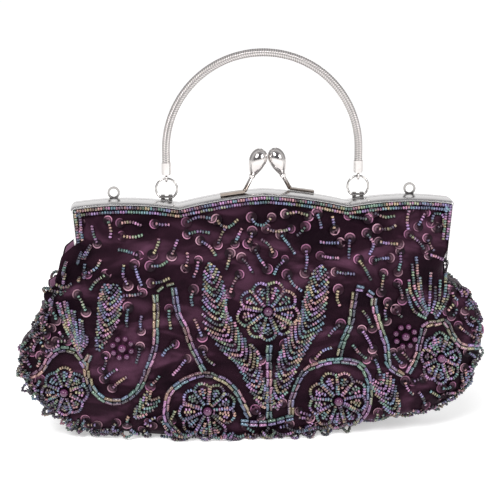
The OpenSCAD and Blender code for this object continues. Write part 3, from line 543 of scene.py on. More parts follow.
def pixel_sv(px):
    """Where on the front fabric places in the picture lie, by the map and then a few Newton steps."""
    px = np.atleast_2d(np.asarray(px, float))
    cell = cell_of(px)
    s, v = SEEN[:, cell[:, 1], cell[:, 0]]
    best, least = np.stack([s, v], -1), np.full(len(px), np.inf)
    for _ in range(LAST_STEPS):
        q = project(skin(s, v, -1))
        err = px - q
        miss = np.linalg.norm(err, axis=1)
        better = miss < least
        best[better] = np.stack([s, v], -1)[better]
        least = np.minimum(miss, least)
        inner = np.where(v > 0.5, -PROBE, PROBE)
        qs = (project(skin(s - np.sign(s) * PROBE, v, -1)) - q) / (-np.sign(s) * PROBE)[:, None]
        qv = (project(skin(s, v + inner, -1)) - q) / inner[:, None]
        det = cross(qs, qv)
        det = np.where(np.abs(det) < 1, 1, det)
        ds, dv = cross(err, qv) / det, cross(qs, err) / det
        s = np.clip(s + np.clip(ds, -LONGEST_STEP, LONGEST_STEP), -0.999, 0.999)
        v = np.clip(v + np.clip(dv, -LONGEST_STEP, LONGEST_STEP), 0, 1)
    return best


def frame_at(s, v, side):
    """Point of the fabric and its outward normal."""
    ds = skin(s + PROBE, v, side) - skin(s - PROBE, v, side)
    dv = skin(s, np.minimum(v + PROBE, 1), side) - skin(s, np.maximum(v - PROBE, 0), side)
    n = unit(np.cross(ds, dv))
    return skin(s, v, side), n * np.where(n[..., 1:2] * side < 0, -1, 1)


def follow(piece, side, replaced=()):
    """Front pieces keep their place, with their transform baked into the mesh, and rear ones ride on the
    rear half.
    """
    if side < 0:
        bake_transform(piece)
    else:
        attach(piece, "rear_frame")
    if replaced:
        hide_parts(*replaced)


def mount(piece, body, replaced):
    """Piece that rides on one body in the place of one node."""
    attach(piece, body)
    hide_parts(replaced)


BASE_ROWS = (0.0, 0.35, 0.7, 0.92)


def cloth(name, side, inset, mat):
    """One side of the pouch, pulled in by inset, with rows that close the base to the middle."""
    s = np.sin(np.linspace(-math.pi / 2, math.pi / 2, 181))
    v = np.concatenate([np.linspace(0, 0.2, 34)[:-1], np.linspace(0.2, 1, 100)])
    p = skin(*np.meshgrid(s, v), side, -inset)
    p[..., 0] -= np.sign(p[..., 0]) * np.minimum(np.abs(p[..., 0]), inset)
    p[..., 2] = np.maximum(p[..., 2], inset)
    base = np.array([p[0] * [1, t, 1] for t in BASE_ROWS])
    p = np.concatenate([base, p])
    faces = grid_faces(p.shape[0], p.shape[1], flip=(side > 0))
    return mesh_object(name, p.reshape(-1, 3), [faces], mat)


def shell(name, side, outer, inner, mat):
    """Sheet with thickness, from outer to inner below the fabric's face."""
    ob = cloth(name, side, outer, mat)
    solid = ob.modifiers.new("thickness", "SOLIDIFY")
    solid.thickness = (inner - outer) * MM
    solid.offset = -1
    with bpy.context.temp_override(object=ob, active_object=ob, selected_objects=[ob]):
        bpy.ops.object.modifier_apply(modifier="thickness")
    return ob


SATIN_FACES, LINING_FACES = (0.0, 0.7), (1.1, 1.6)
SHEETS = [("satin", -1, SATIN_FACES, satin, ["pouch_front_panel", "pouch_body"]),
          ("satin", 1, SATIN_FACES, satin, ["pouch_rear_panel"]),
          ("lining", -1, LINING_FACES, lining_mat, ["lining"]),
          ("lining", 1, LINING_FACES, lining_mat, [])]
for kind, side, faces, mat, replaced in SHEETS:
    follow(shell(f"{kind}_{END[side]}", side, *faces, mat), side, replaced)


# Metal frame
def outline_stations():
    """The frame's outer line, from one arm's end over the top to the other: points and outward normals."""
    xs = np.linspace(0, CORNER_X, 121)
    slope = (top_z(xs + 0.01) - top_z(xs - 0.01)) / 0.02
    slope[0] = 0
    a = np.radians(np.linspace(80, 0, 9))
    corner = np.stack([np.cos(a), np.sin(a)], -1)
    t = np.linspace(0, 1, 22)[1:, None]
    arm = np.array([[FRAME_W / 2, CORNER_Z]]) * (1 - t) + np.array([[HINGE_X, ARM_END]]) * t
    p = np.concatenate([np.stack([xs, top_z(xs)], -1), np.array([CORNER_X, CORNER_Z]) + CORNER_R * corner,
                        arm])
    n = np.concatenate([unit(np.stack([-slope, np.ones_like(xs)], -1)), corner,
                        np.tile([[1.0, 0.0]], (len(t), 1))])
    mirror = np.array([-1, 1])
    return np.concatenate([(p * mirror)[:0:-1], p]), np.concatenate([(n * mirror)[:0:-1], n])


LINE_P, LINE_N = outline_stations()


def swept(section, side):
    """Section of (distance from the seam, distance in from the outer line) pairs along the frame's line."""
    sec = np.asarray(section, float)
    v = np.empty((len(LINE_P), len(sec), 3))
    v[..., 0] = LINE_P[:, None, 0] - LINE_N[:, None, 0] * sec[None, :, 1]
    v[..., 1] = side * sec[None, :, 0]
    v[..., 2] = LINE_P[:, None, 1] - LINE_N[:, None, 1] * sec[None, :, 1]
    return v


SHARP = math.radians(40)


def fix_normals(ob):
    """Faces outward, with sharp edges where they meet at more than the angle above."""
    bm = bmesh.new()
    bm.from_mesh(ob.data)
    bmesh.ops.recalc_face_normals(bm, faces=bm.faces)
    for e in bm.edges:
        e.smooth = not (len(e.link_faces) == 2 and e.calc_face_angle(0) > SHARP)
    bm.to_mesh(ob.data)
    bm.free()


def frame_half(name, side):
    """Stamped half of the frame: a domed rim that runs down both arms, with an ear at each end."""
    dome = [(HALF_D * t, DOME * t ** 2.6) for t in np.linspace(0.06, 0.93, 12)]
    lip = [(HALF_D - 0.12, DOME * 1.15), (HALF_D, DOME * 1.5), (HALF_D, LIP - 0.15), (HALF_D - 0.15, LIP)]
    outer = [(SEAM, 0.12), (0.5, 0.0)] + dome + lip
    wall = HALF_D - METAL
    inner = [(wall + 0.1, LIP), (wall, LIP - 0.1), (wall, DOME * 0.9 + METAL * 0.6),
             (HALF_D * 0.55, DOME * 0.2 + METAL), (SEAM + METAL, METAL), (SEAM + METAL, SEAM_WALL),
             (SEAM, SEAM_WALL)]
    v = swept(outer + inner, side)
    rows, cols = v.shape[:2]
    j = np.arange(cols)
    verts = [v.reshape(-1, 3)]
    faces = [grid_faces(rows, cols, closed=True), np.array([j[::-1], (rows - 1) * cols + j])]
    # The front half's ears lie outside the rear half's
    ear_x = HINGE_X - METAL - EAR_INSET - (0 if side < 0 else METAL + EAR_GAP - EAR_INSET)
    ear = [(side * HALF_D * 0.94, EAR_TOP), (side * 0.6, EAR_TOP), (side * 0.3, EAR_R)]
    ear += [(-side * EAR_R * math.sin(a), EAR_R * math.cos(a)) for a in np.radians(np.linspace(8, 250, 26))]
    ear += [(side * HALF_D * 0.9, EAR_R + 0.3)]
    k = len(ear)
    j = np.arange(k)
    for end in (-1, 1):
        at = sum(len(x) for x in verts)
        near = np.array([[end * ear_x, y, z + HINGE_Z] for y, z in ear])
        verts.append(np.concatenate([near, near + [end * METAL, 0, 0]]))
        faces.append(np.stack([at + j, at + (j + 1) % k, at + k + (j + 1) % k, at + k + j], -1))
        faces.append(np.array([at + j[::-1], at + k + j]))
    ob = mesh_object(name, np.concatenate(verts), faces, plate)
    fix_normals(ob)
    return ob


for side in SIDES:
    half = f"{END[side]}_frame"
    mount(frame_half(f"frame_{END[side]}", side), half, half)


# Snake chain
CHAIN_R, ARCH_R = 2.5, 58.5
CHAIN_Y, CHAIN_Z, ARCH_Z = 4.16, 164.0, 177.0
LINK_PITCH, LINK_STEPS, CHAIN_SIDES = 1.38, 8, 36
LINK_COLUMNS, LINK_SLANT = 4, 0.62


def snake_chain():
    """Tube along the handle's arch, ribbed in chevrons: columns of slanted links that meet in points."""
    leg = ARCH_Z - CHAIN_Z
    total = 2 * leg + math.pi * ARCH_R
    n = int(total / LINK_PITCH) * LINK_STEPS
    d = np.linspace(0, total, n)
    a = np.clip(math.pi - (d - leg) / ARCH_R, 0, math.pi)
    cx = ARCH_R * np.cos(a)
    cz = ARCH_Z + ARCH_R * np.sin(a)
    cz = np.where(d < leg, CHAIN_Z + d, np.where(d > total - leg, CHAIN_Z + total - d, cz))
    t = around(CHAIN_SIDES)
    across = np.abs(((t * LINK_COLUMNS / (2 * math.pi)) % 1) - 0.5)[None, :] * 2
    phase = (d[:, None] / LINK_PITCH + across * LINK_SLANT) % 1
    link = np.sqrt(np.clip(1 - (2 * phase - 1) ** 2, 0, 1))
    groove = 1 - 0.05 * np.exp(-((across - 1) / 0.12) ** 2) - 0.05 * np.exp(-(across / 0.12) ** 2)
    rad = CHAIN_R * (0.86 + 0.14 * link) * groove
    v = np.stack([cx[:, None] + rad * np.cos(t) * np.cos(a)[:, None], CHAIN_Y + rad * np.sin(t),
                  cz[:, None] + rad * np.cos(t) * np.sin(a)[:, None]], -1)
    f = grid_faces(n, CHAIN_SIDES, closed=True)
    j = np.arange(CHAIN_SIDES)
    caps = np.array([j, ((n - 1) * CHAIN_SIDES + j)[::-1]])
    # Painted shade: dark between the links and along the seams where the link columns meet
    shade = (0.16 + 0.84 * link ** 1.5) * (1 - 0.35 * np.exp(-((across - 1) / 0.2) ** 2))
    colors = np.repeat(shade.reshape(-1, 1), 3, 1)
    return mesh_object("snake_chain", v.reshape(-1, 3), [f, caps], chain_nickel, colors)


mount(snake_chain(), "handle", "handle_chain")

# Colours of the beads
OIL = np.array([(.08, .27, .21), (.17, .34, .18), (.42, .36, .12), (.48, .25, .12), (.52, .16, .22),
                (.52, .14, .40), (.36, .12, .44), (.20, .15, .46), (.12, .22, .42), (.07, .26, .32)])
DARK = np.array([(.05, .04, .07), (.08, .03, .07), (.03, .05, .06)])
MUTED = 0.32
BEAD_LEVEL = 0.54
STRAY = 0.3
# Brightness, step from hue to hue and share of dark beads of each kind
SEED_OIL, BUGLE_OIL = (1.0, 1.2, 0.22), (1.0, 2.5, 0.08)
EDGING_OIL, FRINGE_OIL = (1.0, 1.6, 0.15), (0.75, 1.6, 0.4)


def oil(n, bright, spread, dark):
    """Colours along a thread of beads: a walk round the oil-slick hues, with stray and dark beads."""
    hues = len(OIL)
    k = rng.uniform(0, hues) + np.cumsum(rng.normal(0, spread, n))
    k = np.where(rng.random(n) < STRAY, rng.uniform(0, hues, n), k) % hues
    lo = k.astype(int)
    f = (k - lo)[:, None]
    c = OIL[lo] * (1 - f) + OIL[(lo + 1) % hues] * f
    mask = rng.random(n) < dark
    c[mask] = DARK[rng.integers(0, len(DARK), mask.sum())]
    c = c * (1 - MUTED) + MUTED * (c.mean(1, keepdims=True) + [0.04, 0.0, 0.04])
    return np.clip(c * bright * BEAD_LEVEL * rng.uniform(0.4, 1.7, (n, 1)), 0, 0.9)


# Threads of beads. The scale is a bead's length and its two radii, and NEAR is how far ahead and behind
# on the thread its direction is taken.
SEED_SCALE, SEED_PITCH = (1.50, 1.06, 1.06), 1.56
BUGLE_SCALE, BUGLE_PITCH = (4.8, 0.98, 0.98), 5.0
JITTER = 0.06
NEAR, STRING_NEAR = 0.3, 0.4
CURVE_STEP = 0.5


def run_of(points):
    """Length of a line up to each of its points."""
    return np.concatenate([[0], np.cumsum(np.linalg.norm(np.diff(points, axis=0), axis=1))])


def at_length(points, run, d):
    """Places on a line at the lengths d along it."""
    return np.stack([np.interp(d, run, column) for column in points.T], -1)


def curve_pixels(points):
    """Catmull-Rom line through places in the picture."""
    p = np.asarray(points, float)
    p = np.concatenate([2 * p[:1] - p[1:2], p, 2 * p[-1:] - p[-2:-1]])
    out = []
    for a, b, c, d in zip(p, p[1:], p[2:], p[3:]):
        n = max(2, int(np.linalg.norm(c - b) / CURVE_STEP))
        t = np.linspace(0, 1, n, endpoint=False)[:, None]
        out.append(0.5 * (2 * b + (c - a) * t + (2 * a - 5 * b + 4 * c - d) * t ** 2
                          + (3 * b - a - 3 * c + d) * t ** 3))
    return np.concatenate(out + [p[-2:-1]])


def ways(pixels):
    """Unit vectors along and across a line in the picture."""
    d = unit(np.gradient(pixels, axis=0))
    return d, np.stack([-d[:, 1], d[:, 0]], -1)


def thread(pile, line, pitch, scale, side, lift, look):
    """Beads along a line on the fabric. line holds (s, v) rows."""
    run = run_of(skin(line[:, 0], line[:, 1], side))
    n = int(run[-1] / pitch)
    if n < 1:
        return
    d = (np.arange(n) + 0.5) * run[-1] / n
    at, nrm = frame_at(*at_length(line, run, d).T, side)
    along = skin(*at_length(line, run, d + NEAR).T, side) - skin(*at_length(line, run, d - NEAR).T, side)
    c = oil(n, *look)
    at = at + nrm * lift + rng.normal(0, JITTER, at.shape)
    at[:, 2] = np.maximum(at[:, 2], SEED_SCALE[1])
    sizes = np.array(scale) * rng.uniform(0.92, 1.08, (n, 1))
    pile.add(at, along + rng.normal(0, 0.05, along.shape), nrm, sizes, c, np.roll(c, 1, 0))


piles = {}
placed = []
MM_PER_PIXEL = 0.62
MOST_STRETCH = 1.9


def pile_of(name, side, template=SEED):
    return piles.setdefault((name, side), Pile(template))


def seeds(name, pixels, lift=1.0):
    """Seed beads along a line in the picture. A line that the shoulders' fold stretches is left out."""
    line = pixel_sv(pixels)
    run = run_of(skin(line[:, 0], line[:, 1], -1))[-1]
    if run > MOST_STRETCH * MM_PER_PIXEL * run_of(pixels)[-1] + 1:
        return False
    placed.append(pixels[::3])
    for side in SIDES:
        thread(pile_of(name, side), line, SEED_PITCH, SEED_SCALE, side, lift, SEED_OIL)
    return True


# How far the rows lie beside their line, in pixels
DOUBLE, SINGLE = (-1.7, 1.7), (0,)


def bugles(name, rows, points):
    """Rows of bugle beads along a line in the picture."""
    px = curve_pixels(points)
    placed.append(px[::3])
    _, beside = ways(px)
    for by in rows:
        line = pixel_sv(px + beside * by)
        for side in SIDES:
            thread(pile_of(name, side, BUGLE), line, BUGLE_PITCH, BUGLE_SCALE, side, 1.0, BUGLE_OIL)


SCROLLS = [
    ("scroll_left", DOUBLE, [(90, 354), (86, 367), (92, 386), (102, 397), (114, 401), (127, 398), (140, 386),
                             (150, 362), (155, 345), (156, 323), (156, 302), (155, 294)]),
    ("scroll_left", SINGLE, [(156, 292), (165, 286), (175.6, 283)]),
    ("scroll_left", DOUBLE, [(174, 287), (176, 302), (179, 316), (185, 327), (190, 342), (198, 359),
                             (204, 371)]),
    ("scroll_left", DOUBLE, [(86, 367), (79, 355), (74, 350.5), (62, 349), (51, 356), (42.5, 369), (32, 375),
                             (24, 373)]),
    ("scroll_left", DOUBLE, [(177, 431), (168, 421), (166, 410), (169.5, 393), (182.5, 381), (197, 375),
                             (209, 374), (226, 381), (237, 392), (243, 403), (249, 417)]),
    ("scroll_right", DOUBLE, [(291, 414), (291.5, 399), (302.6, 373), (318.6, 364), (339, 360), (358.5, 364),
                              (368, 378), (369, 399), (365, 412), (354, 424)]),
    ("scroll_right", DOUBLE, [(338.7, 356), (343, 341), (350, 324), (352.5, 309), (355, 291.5)]),
    ("scroll_right", DOUBLE, [(354, 287), (364, 290), (375, 297)]),
    ("scroll_right", DOUBLE, [(374, 297), (374, 306), (379, 324), (386, 345), (389, 365), (403, 375)]),
    ("scroll_right", DOUBLE, [(407.6, 373), (415.6, 358), (419, 343), (425, 326), (436, 322.5),
                              (445.5, 322.5), (452, 335), (461.5, 345), (478, 346.6)]),
    ("stem", DOUBLE, [(269, 344), (269, 380), (269, 418)]),
    ("stem", DOUBLE, [(240, 421), (253, 422.5), (269, 422), (294, 416)])]
for name, rows, points in SCROLLS:
    bugles(name, rows, points)

LEAF_ROWS, SMALL_LEAF_ROWS = 6.0, 5.4
LEAF_SLANT = 0.70
LEAF_FIRST, LEAF_PAST = 4.0, 6
LEAST_LEAF = 1.2


def leaf(name, spine, widths, spacing=LEAF_ROWS):
    """Leaf of slanted bead rows, with its spine from tip to base and its half widths along it."""
    sp = curve_pixels(spine)
    d, n = ways(sp)
    length = run_of(sp)
    w = np.interp(length / length[-1], np.linspace(0, 1, len(widths)), widths)
    seeds(name, sp[: max(3, int(len(sp) * 0.1))])
    t = np.linspace(0.0, 1, 12)
    at = LEAF_FIRST
    while at < length[-1] + LEAF_PAST:
        i = min(np.searchsorted(length, at), len(sp) - 1)
        half = w[i]
        for k in (-1, 1):
            if half < LEAST_LEAF:
                continue
            ahead = half / LEAF_SLANT * (0.62 * t + 0.38 * t * t)
            seeds(name, sp[i] + k * n[i] * (half * t ** 0.85)[:, None] - d[i] * ahead[:, None])
        at += spacing


leaf("leaf_left", [(209, 262), (213, 285), (220, 322), (234, 345), (249, 366), (258, 388), (266, 407)],
     [1, 8, 11, 13, 14, 13.5, 12, 10, 7])
leaf("leaf_right", [(321.5, 264), (318, 285), (308, 323), (296, 345), (287, 366), (281, 386), (274, 407)],
     [1, 8, 11, 12.5, 13, 12.5, 11.5, 9, 6])

# Half of a petal's arch and its three inner rows, as shares of its length and half width
PETAL_CORE, PETAL_FOOT = 5.4, 1.4
PETAL_ARCH = [(0.5, 0.58), (0.8, 0.95), (0.95, 0.5)]
PETAL_ROWS = [(-1, (0.58, 0.7, 0.8)), (0, (0.42, 0.7, 0.85)), (1, (0.58, 0.7, 0.8))]


def flower(name, middle, radius, petals, narrow, turn):
    """Flower of petals round a pearl. Each petal is an arched row with straight rows inside it."""
    for i in range(petals):
        a = turn + 2 * math.pi * i / petals + rng.normal(0, 0.05)
        r = radius * rng.uniform(0.93, 1.03)
        out = np.array([math.cos(a), math.sin(a)])
        across = np.array([-out[1], out[0]])
        w = r * math.sin(math.pi / petals * 0.84)
        core, foot = out * PETAL_CORE, across * PETAL_FOOT
        arch = [core + foot, *(out * r * u + across * w * q for u, q in PETAL_ARCH), out * r,
                *(out * r * u - across * w * q for u, q in PETAL_ARCH[::-1]), core - foot]
        rows = [[out * r * t + across * k * w * 0.42 * t for t in shares] for k, shares in PETAL_ROWS]
        for points, lift in ((arch, 1.1), *((row, 1.0) for row in rows)):
            seeds(name, curve_pixels([np.array(middle) + q * [narrow, 1] for q in points]), lift)


# Each flower's middle, radius, number of petals, width to height and turn, and its pearl's radius
FLOWERS = [("flower_middle", (268, 311), 30.5, 9, 1.0, 0.15, 2.8),
           ("flower_left", (207.5, 409.6), 29, 9, 1.0, 0.3, 2.7),
           ("flower_right", (337.7, 399.7), 29.5, 9, 1.0, 0.1, 2.7),
           ("flower_side", (65.3, 391), 24, 8, 0.95, 0.0, 2.5),
           ("flower_side", (440, 357), 26, 8, 0.78, 0.0, 2.5)]
for *settings, _ in FLOWERS:
    flower(*settings)

PEARL_COLOR = (.085, .018, .065)


def pearls(name, spots):
    """Pearls at (x, y, radius) in the picture."""
    for x, y, r in spots:
        sv = pixel_sv([(x, y)])
        for side in SIDES:
            at, nrm = frame_at(sv[:, 0], sv[:, 1], side)
            c = np.array([PEARL_COLOR]) * rng.uniform(0.8, 1.25)
            pile_of(name, side, PEARL).add(at + nrm * (r + 0.3), [[1.0, 0, 0]], nrm, (r, r, r), c, c * 1.4)


def daisy(x, y, ring, petals=8):
    """Ring of pearls round one in the middle."""
    turns = around(petals) + 0.3
    petal_spots = [(x + ring * math.cos(a), y + ring * math.sin(a), 1.75) for a in turns]
    pearls("daisy_pearls", [(x, y, 2.5)] + petal_spots)


daisy(122.2, 347.2, 9.6)
daisy(404.7, 335.7, 9.8)
pearls("flower_pearls", [(*middle, pearl) for _, middle, _, _, _, _, pearl in FLOWERS])

# Sprigs: short rows of seed beads with a sequin at one or both ends. Plain ones are given by their two ends.
SPRIGS = [
    (81, 224, 81, 241), (92, 225, 97, 243), (108, 221, 110, 238), (121, 223, 142, 226),
    (123, 236, 143, 235), (155, 224, 170, 225), (159, 238, 153, 254), (88, 253, 72, 266),
    (101, 259, 88, 273), (118, 249, 138, 255), (124, 264, 128, 285), (135, 265, 142, 286),
    (151, 266, 168, 261), (152, 283, 170, 278), (105, 275, 90, 290), (123, 296, 142, 293),
    (65, 278, 79, 284), (53, 288, 67, 293), (78, 295, 86, 311), (187, 222, 211, 218),
    (286, 214, 308, 216), (188, 234, 210, 233), (225, 228, 218, 244), (242, 228, 235, 243),
    (252, 232, 248, 243), (267, 229, 290, 229), (305, 227, 296, 236), (178, 239, 172, 255),
    (201, 241, 216, 256), (261, 239, 273, 253), (281, 235, 295, 254), (306, 250, 305, 272),
    (187, 252, 186, 267), (230, 254, 226, 270), (242, 258, 253, 273), (255, 249, 267, 268),
    (284, 260, 274, 275), (287, 275, 302, 291), (198, 261, 193, 278), (239, 275, 230, 293),
    (193, 290, 192, 306), (317, 214, 321, 229), (332, 216, 334, 229), (349, 216, 367, 219),
    (374, 213, 395, 216), (409, 210, 408, 230), (425, 213, 418, 226), (378, 229, 396, 225),
    (409, 235, 424, 249), (427, 239, 434, 251), (319, 242, 339, 243), (350, 239, 349, 259),
    (379, 242, 398, 244), (321, 256, 339, 258), (374, 260, 389, 258), (400, 252, 398, 271),
    (359, 260, 371, 280), (336, 272, 355, 274), (383, 274, 381, 291), (398, 284, 402, 299),
    (429, 255, 442, 259), (338, 290, 340, 306), (128, 308, 127, 327), (142, 315, 141, 330),
    (140, 347, 136, 363), (106, 356, 103, 369), (118, 368, 105, 378), (127, 376, 113, 387),
    (160, 375, 151, 385), (60, 344, 46, 351), (27, 354, 32, 367), (169, 309, 171, 329),
    (194, 318, 202, 336), (203, 350, 215, 365), (174, 344, 162, 356), (186, 359, 172, 375),
    (251, 344, 261, 359), (284, 345, 278, 360), (282, 403, 277, 410), (340, 324, 328, 336),
    (332, 347, 315, 359), (362, 310, 372, 327), (362, 330, 372, 348), (352, 344, 366, 358),
    (374, 358, 380, 375), (387, 303, 386, 320), (396, 310, 402, 317), (393, 353, 402, 363),
    (401, 351, 411, 361), (405, 381, 413, 394), (413, 381, 422, 378), (418, 391, 425, 404),
    (429, 390, 439, 396), (445, 392, 456, 392), (464, 316, 472, 326), (458, 326, 473, 337)]
BENT = [[(217, 220), (221, 225), (229, 227), (238, 219)], [(252, 218), (256, 224), (264, 225), (271, 218)],
        [(367, 234), (373, 244), (369, 255)], [(431, 222), (434, 214), (442, 215), (443, 224), (437, 227)]]
SEQUIN_COLORS = np.array([(.010, .003, .007), (.007, .002, .005), (.02, .005, .012)])
# Colours of the painted highlight, a pink crescent on each sequin's rim
RIM_HIGHLIGHT_COLORS = np.array([(.55, .24, .38), (.48, .18, .34), (.60, .32, .42)])
SEQUIN_LIFT, SEQUIN_FLOOR = 0.35, 3.5


def sequin(end, way):
    """Sequin at a sprig's end, tilted the way the sprig points."""
    sv = pixel_sv([end, end + way])
    for side in SIDES:
        at, nrm = frame_at(sv[:, 0], sv[:, 1], side)
        tip = unit(at[1] - at[0])
        tilt = unit(nrm[0] + tip * rng.uniform(0.05, 0.35) + rng.normal(0, 0.08, 3))
        c = SEQUIN_COLORS[rng.integers(0, len(SEQUIN_COLORS))]
        # Painted highlight on the rim, of random brightness
        rim = RIM_HIGHLIGHT_COLORS[rng.integers(0, len(RIM_HIGHLIGHT_COLORS))] * rng.uniform(0.35, 1.0)
        place = at[:1] + nrm[:1] * SEQUIN_LIFT
        place[:, 2] = np.maximum(place[:, 2], SEQUIN_FLOOR)
        pile_of("sequins", side, SEQUIN).add(place, tip[None], tilt[None], rng.uniform(0.85, 1.05), c, rim)


def sprig(points):
    """Short row of seed beads, with a sequin at one end or at both."""
    px = curve_pixels(points)
    if not seeds("sprigs", px):
        return
    first, last = unit(px[0] - px[2]), unit(px[-1] - px[-3])
    which = rng.random()
    if which < 0.75:
        sequin(px[0] + first * 0.6, first)
    if which > 0.45:
        sequin(px[-1] + last * 0.6, last)


for x0, y0, x1, y1 in SPRIGS:
    bow = np.array([-(y1 - y0), x1 - x0]) * rng.uniform(-0.13, 0.13)
    sprig([(x0, y0), np.array([x0 + x1, y0 + y1]) / 2 + bow, (x1, y1)])
for points in BENT:
    sprig(points)

# Sprays: double rows that fan out from one place, a leaf, a palm and two buds
SPRAY_BASE = np.array([80, 353])
for tip, bow in (((57, 301), -3), ((64, 300), -2), ((72, 309), -1), ((80, 318), 1), ((85, 334), 2)):
    middle = (np.array(tip) + SPRAY_BASE) / 2 + [bow, 0]
    seeds("spray_left", curve_pixels([tip, middle, SPRAY_BASE]))
    seeds("spray_left", curve_pixels([np.array(tip) + [2.6, 1], middle + [2.4, 0], SPRAY_BASE + [1.2, -2]]))
leaf("spray_left", [(111, 284), (110, 300), (106, 325), (98, 350)], [1, 8, 11, 12, 11.5, 9.5, 4],
     SMALL_LEAF_ROWS)
PALM = [[(406.5, 288), (408, 297), (413.5, 310.5), (426, 318)],
        [(408.5, 279), (410.5, 292), (417.5, 305), (426.5, 316)],
        [(411.5, 263), (414, 286), (420.5, 302), (427, 315)],
        [(415.5, 256), (418.5, 288), (423.5, 305), (427.5, 314)],
        [(419, 277), (422.5, 297), (427, 311)], [(430, 272), (429.5, 291), (428.5, 311)],
        [(434.5, 286), (434.5, 299), (431, 313)], [(439.5, 280), (438.5, 299), (433, 314)],
        [(444, 272), (445, 288), (442, 302), (434, 316)], [(448, 282), (447.5, 294), (443, 307), (435, 318)]]
for points in PALM:
    seeds("palm_right", curve_pixels(points))
leaf("buds", [(153, 396), (145, 406), (135, 417)], [4, 8, 9, 6], SMALL_LEAF_ROWS)
leaf("buds", [(380, 380), (388, 396), (396, 415)], [4, 10, 12, 11, 8], SMALL_LEAF_ROWS)

# Crowded sprigs along the sides and the base, where the motifs leave room
CROWD_TRIES, CROWD_ROOM = 1400, 3.5
CROWD_SIDE, CROWD_BASE = 0.84, 0.13
for _ in range(CROWD_TRIES):
    s, v = rng.uniform(-0.97, 0.97), rng.uniform(0.03, 0.62)
    if abs(s) < CROWD_SIDE and v > CROWD_BASE:
        continue
    at = project(skin(s, v, -1))
    turn = rng.uniform(0, math.pi)
    ahead = np.array([math.cos(turn), math.sin(turn)]) * rng.uniform(3.5, 6.0)
    ends = np.array([at - ahead, at, at + ahead])
    if np.linalg.norm(np.concatenate(placed)[:, None] - ends[None], axis=2).min() < CROWD_ROOM:
        continue
    bow = np.array([-ahead[1], ahead[0]]) * rng.uniform(-0.3, 0.3)
    sprig([at - ahead, at + bow, at + ahead])


# Edging and fringe
def string(pile, line, normal, look, least=0, jitter=0.0):
    """Seed beads along a line of points in space, all facing one way. look holds the settings of oil."""
    run = run_of(line)
    n = max(least, int(run[-1] / SEED_PITCH))
    d = (np.arange(n) + 0.5) * run[-1] / n
    at = at_length(line, run, d)
    along = at_length(line, run, d + STRING_NEAR) - at_length(line, run, d - STRING_NEAR)
    c = oil(n, *look)
    if jitter:
        at = at + rng.normal(0, jitter, at.shape)
    pile.add(at, along, np.tile(normal, (n, 1)), SEED_SCALE, c, np.roll(c, 1, 0))


# Distance in from the frame's outer line and distance from the seam of each row, and where the rows end
EDGING_ROWS = ((3.35, 11.0), (5.85, 11.2))
EDGING_END = 122


def edging(side):
    """Two rows of seed beads under a half's lip."""
    pile = Pile(SEED)
    for depth, y in EDGING_ROWS:
        line = swept([(y, depth)], side)[:, 0]
        line = line[line[:, 2] > EDGING_END]
        string(pile, line, [0.0, float(side), 0.0], EDGING_OIL, jitter=0.05)
    ob = pile.build(f"edging_{END[side]}", seed_mat)
    mount(ob, f"{END[side]}_frame", f"bead_edging_{END[side]}")


for side in SIDES:
    edging(side)


def fringe():
    """Irregular loops of beads from the left shoulder down, along the base and up the right side."""
    edge = np.array([(-0.892, v) for v in np.linspace(0.81, 0.66, 16)]
                    + [(-0.985, v) for v in np.linspace(0.64, 0.01, 60)]
                    + [(s, 0.004) for s in np.linspace(-0.97, 0.97, 60)]
                    + [(0.985, v) for v in np.linspace(0.01, 0.64, 60)])
    run = run_of(skin(edge[:, 0], edge[:, 1], -1))
    halves = {side: Pile(SEED) for side in SIDES}
    t = np.linspace(0, 1, 30)[:, None]
    d = 0.0
    while d < run[-1] - 4:
        for side in SIDES:
            s0, v0 = at_length(edge, run, d)
            s1, v1 = at_length(edge, run, d + rng.uniform(3.5, 10.0))
            inward = rng.uniform(0.0, 0.05)
            a, na = frame_at(np.array([s0 * (1 - inward)]), np.array([v0 + inward]), side)
            b, nb = frame_at(np.array([s1 * (1 - inward)]), np.array([v1 + inward]), side)
            bulge = rng.uniform(1.5, 6.0) if abs(s0) < 0.9 else rng.uniform(1.2, 5.5 if s0 < 0 else 3.0)
            sideways = 1.2 if abs(s0) > 0.97 else 0.1
            out = unit(na[0] + nb[0] + np.array([np.sign(s0) * sideways, 0, -0.25]))
            line = a[0] * (1 - t) + b[0] * t + out * (4 * bulge * t * (1 - t)) + out * 0.5
            line[:, 2] = np.maximum(line[:, 2], SEED_SCALE[1])
            string(halves[side], line, out, FRINGE_OIL, least=2)
        d += rng.uniform(1.6, 3.4)
    for side, pile in halves.items():
        ob = pile.build(f"fringe_{END[side]}", seed_mat)
        follow(ob, side, ["bead_fringe"] if side < 0 else [])


fringe()

# The piles on the fabric become pieces. Those not named here are seed beads.
PILE_MATERIALS = {"sequins": sequin_mat, "daisy_pearls": pearl_mat, "flower_pearls": pearl_mat,
                  "scroll_left": bugle_mat, "scroll_right": bugle_mat, "stem": bugle_mat}
REPLACED = {("scroll_left", -1): ["bead_scrolls"], ("leaf_left", -1): ["bead_leaves"],
            ("flower_middle", -1): ["bead_flowers"], ("flower_pearls", -1): ["flower_pearls"],
            ("daisy_pearls", -1): ["pearl_daisies"], ("sprigs", -1): ["panel_beads_front", "body_sprigs"],
            ("sprigs", 1): ["panel_beads_rear"]}
for (name, side), pile in piles.items():
    ob = pile.build(f"{name}_{END[side]}", PILE_MATERIALS.get(name, seed_mat))
    follow(ob, side, REPLACED.get((name, side)))

# CAD nodes that stay in sight. Those whose names start otherwise are bright nickel; the ring, loop guide and
# chain loops get darker copies of it, as painted shade.
NODE_METALS = {"clasp_arm": clasp_nickel, "chain_loop": shaded_loop_nickel, "ring": shaded_nickel,
               "loop_guide": shaded_nickel}
for name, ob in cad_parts.items():
    mat = next((metal for start, metal in NODE_METALS.items() if name.startswith(start)), nickel)
    for slot in ob.material_slots:
        slot.material = mat
    if not ob.material_slots:
        ob.data.materials.append(mat)

